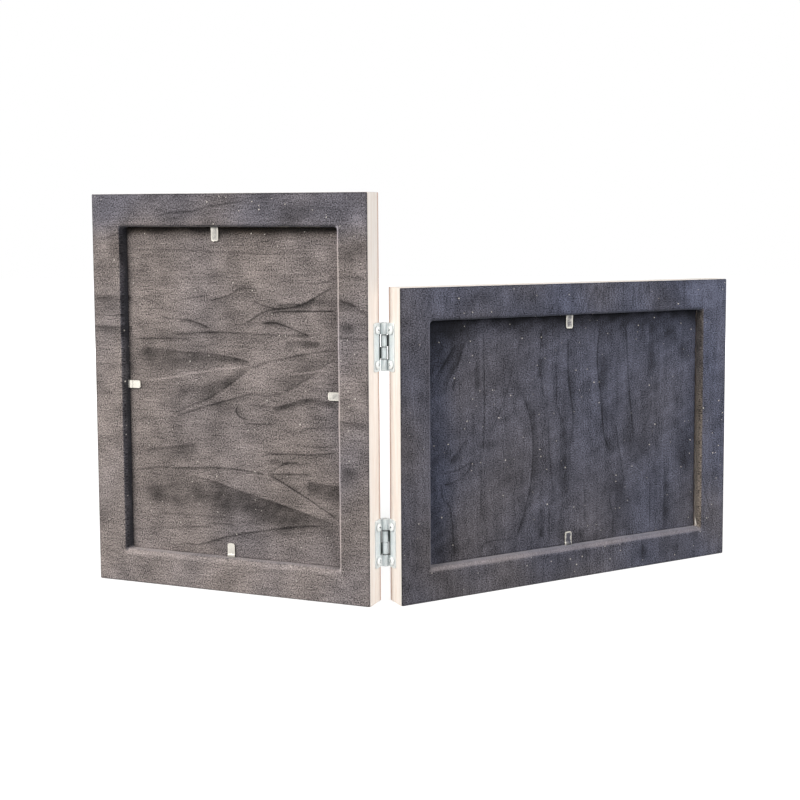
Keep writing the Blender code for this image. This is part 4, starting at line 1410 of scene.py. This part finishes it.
def make_screw(made, hinge, place_name, up_at):
    """A pan-head wood screw through a leaf into the rail, with a cross recess in its head."""
    one, two, along = spun(*screw_profile(), 2 * SPIN)
    slot = np.minimum(np.abs(one), np.abs(two))
    arm = np.maximum(np.abs(one), np.abs(two))
    recess = (1 - smooth_step(0.00024, 0.00036, slot)) * (1 - smooth_step(0.00115, 0.00135, arm))
    in_head = along > HEAD_EDGE
    along = along - RECESS_DEPTH * recess * in_head
    tilt = SCREW_TILT[place_name]
    side_way = one * math.cos(tilt) - two * math.sin(tilt)
    up_way = one * math.sin(tilt) + two * math.cos(tilt)
    points = from_axis(made, SCREW_SEAT - along, SCREW_FROM_AXIS + side_way, up_at + up_way)
    # Painted shade in the cross recess and under the head.
    grime = 0.8 * recess * in_head + np.exp(-((along / 0.00015) ** 2)) * 0.7
    attributes = {"grime": grime, "dull": np.full(along.size, 0.3)}
    piece = new_turned(f"{hinge}_hinge_{made.name}_{place_name}_screw", points, attributes, sharp=50)
    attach(piece, BODY[made])
    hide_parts(f"hinge_{hinge}_screw_{made.name}_{place_name}")


for hinge, centre in HINGES.items():
    make_pin(hinge, centre)
    for made in FRAMES:
        make_screw(made, hinge, "top", centre + SCREW_SPACING / 2)
        make_screw(made, hinge, "bottom", centre - SCREW_SPACING / 2)
print("two pins and eight screws")

# %% [markdown]
# ## Tabs
# A tab is a short strip of steel driven into the rebate wall. It comes out of the wall, steps down
# and lies just over the board, and a thumb bends it up to take the board out. Here the strip is one
# piece, from its root in the rail to its blade, built where it lies at rest.

# %% Tabs
TAB_HALF_WIDTH = 0.0022
TAB_SHEET = 0.0005
TAB_REACH = 0.0079
TAB_ROOT = 0.0065
TAB_CORNER = 0.0011
TAB_MIDDLE = 0.00965
TAB_STEP_UP = 0.0003
TAB_DISH = 0.00010
BEND_START = 0.0001
BEND_END = 0.0011
# Which frame and side, how far along that side, and how dark the steel is: dull steel and painted
# shade, set tab by tab to how much light each tab mirrors.
TABS = (
    (PORTRAIT, "top", 0.5535, 0.7),
    (PORTRAIT, "bottom", 0.5106, 0.3),
    (PORTRAIT, "outer_side", 0.5127, 0.0),
    (PORTRAIT, "hinge_side", 0.506, 0.7),
    (LANDSCAPE, "top", 0.496, 0.97),
    (LANDSCAPE, "bottom", 0.495, 1.45),
)


def make_tab(made, side, share, dull):
    """The strip: out from the wall, across its width, with round corners, a step and a dish."""
    length, turned = rail_sides(made)[side]
    root_part = np.linspace(-TAB_ROOT, 0, 6)[:-1]
    straight = np.linspace(0, TAB_REACH - TAB_CORNER, 22)[:-1]
    tip = TAB_REACH - TAB_CORNER + TAB_CORNER * np.sin(np.radians(np.linspace(0, 84, 9)))
    out = np.concatenate((root_part, straight, tip))[:, None]
    wide = np.linspace(-1, 1, 13)[None]
    past = np.clip(out - (TAB_REACH - TAB_CORNER), 0, TAB_CORNER)
    half = TAB_HALF_WIDTH - TAB_CORNER + np.sqrt(TAB_CORNER**2 - past**2)
    along = wide * half
    step = TAB_STEP_UP * (1 - smooth_step(0.0013, 0.0021, out))
    dish = TAB_DISH * wide**2 * smooth_step(0.001, 0.003, out)
    depth = TAB_MIDDLE + step + dish
    across, up = turned((share - 0.5) * length + along, BORDER + out)
    points = place(made, across, depth, up)
    # Painted highlight: the long edges and the tip keep the bright colour.
    rim = np.maximum(np.abs(wide) ** 4, smooth_step(TAB_REACH - 0.0012, TAB_REACH, out))
    # Painted shade on the strip's root, by the wall.
    root = 1 - smooth_step(0.0002, 0.0012, out)
    attributes = {"dull": dull * (1 - rim), "grime": np.broadcast_to(0.5 * root, points.shape[:2])}
    name = f"{made.name}_{side}_tab_strip"
    piece = new_piece(name, points, grid_faces(*points.shape[:2]), TAB_STEEL, attributes=attributes)
    stamp(piece, TAB_SHEET)
    ends = [turned((share - 0.5) * length, BORDER + out_at) for out_at in (BEND_START, BEND_END)]
    start, end = (place(made, a, TAB_MIDDLE, u).tolist() for a, u in ends)
    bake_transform(piece)
    node = f"{made.name}_tab_{side}"
    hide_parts(node, f"{node}_anchor")


for tab in TABS:
    make_tab(*tab)
print(len(TABS), "tabs of", TAB_SHEET * MM, "mm steel")

# %% [markdown]
# ## Glass, card, board and nails
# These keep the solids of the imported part, whose shapes are right, and only get their finishes.
# Glass lets light through to the card. For the rays that look for lamps it is clear, or the card
# behind would lie in its shadow. It is clear for the light that the card scatters too, or those
# rays would count as sent on by the glass and see the white that is only for the eye. The place
# for the picture is left bare.

# %% Finishes for the solids that stay
GLASS_TINT = (0.985, 0.992, 0.988, 1)


def glass_material():
    """Clear glass with faint smudges, clear to the rays that look for lamps and to scattered light."""
    material, tree, shader = new_material("picture glass")
    clouds = use(tree, SMUDGE, {"Vector": in_piece(tree), "Size": 25.0})["Clouds"]
    inputs = {"Base Color": GLASS_TINT, "IOR": 1.5, "Transmission Weight": 1.0}
    fill(tree, shader, inputs | {"Roughness": ramp(tree, clouds, 0.5, 0.8, 0.0, 0.06)})
    clear = add(tree, "ShaderNodeBsdfTransparent", {"Color": GLASS_TINT})
    path = tree.nodes.new("ShaderNodeLightPath").outputs
    unseen = sum_of(tree, "MAXIMUM", path["Is Shadow Ray"], path["Is Diffuse Ray"])
    both = add(tree, "ShaderNodeMixShader", {0: unseen, 1: shader.outputs[0], 2: clear.outputs[0]})
    fill(tree, tree.nodes["Material Output"], {"Surface": both.outputs[0]})
    return material


def fibre_material(name, light, dark, size, roughness):
    """Paper or pressed fibre: two sizes of cloudy marks between two colours, slightly rough."""
    material, tree, shader = new_material(name)
    place_in = in_piece(tree)
    clouds = use(tree, SMUDGE, {"Vector": place_in, "Size": size})["Clouds"]
    inputs = {
        "Base Color": mixed(tree, ramp(tree, clouds, 0.35, 0.65), light, dark),
        "Roughness": ramp(tree, clouds, 0.3, 0.7, roughness - 0.08, roughness + 0.08),
        "Normal": bumped(tree, noise(tree, place_in, size * 20, 2.0), 0.3, 0.00005),
    }
    fill(tree, shader, inputs)
    return material


def finish_node(name, material):
    """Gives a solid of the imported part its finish."""
    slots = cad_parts[name].material_slots
    if not slots:
        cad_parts[name].data.materials.append(material)
    for each in slots:
        each.material = material


GLASS = glass_material()
CARD_COLOURS = (colour(240, 236, 226), colour(236, 231, 221))
BOARD_COLOURS = (colour(134, 92, 58), colour(108, 70, 42))
CARD = fibre_material("bare picture card", *CARD_COLOURS, 90.0, 0.8)
BOARD = fibre_material("pressed back board", *BOARD_COLOURS, 120.0, 0.75)
for made in FRAMES:
    finish_node(f"{made.name}_glass", GLASS)
    finish_node(f"{made.name}_picture_card", CARD)
    finish_node(f"{made.name}_back_board", BOARD)
nails = [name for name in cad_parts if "_nail_" in name]
for name in nails:
    finish_node(name, NAIL_STEEL)
print("finishes on glass, cards, boards and", len(nails), "nails")
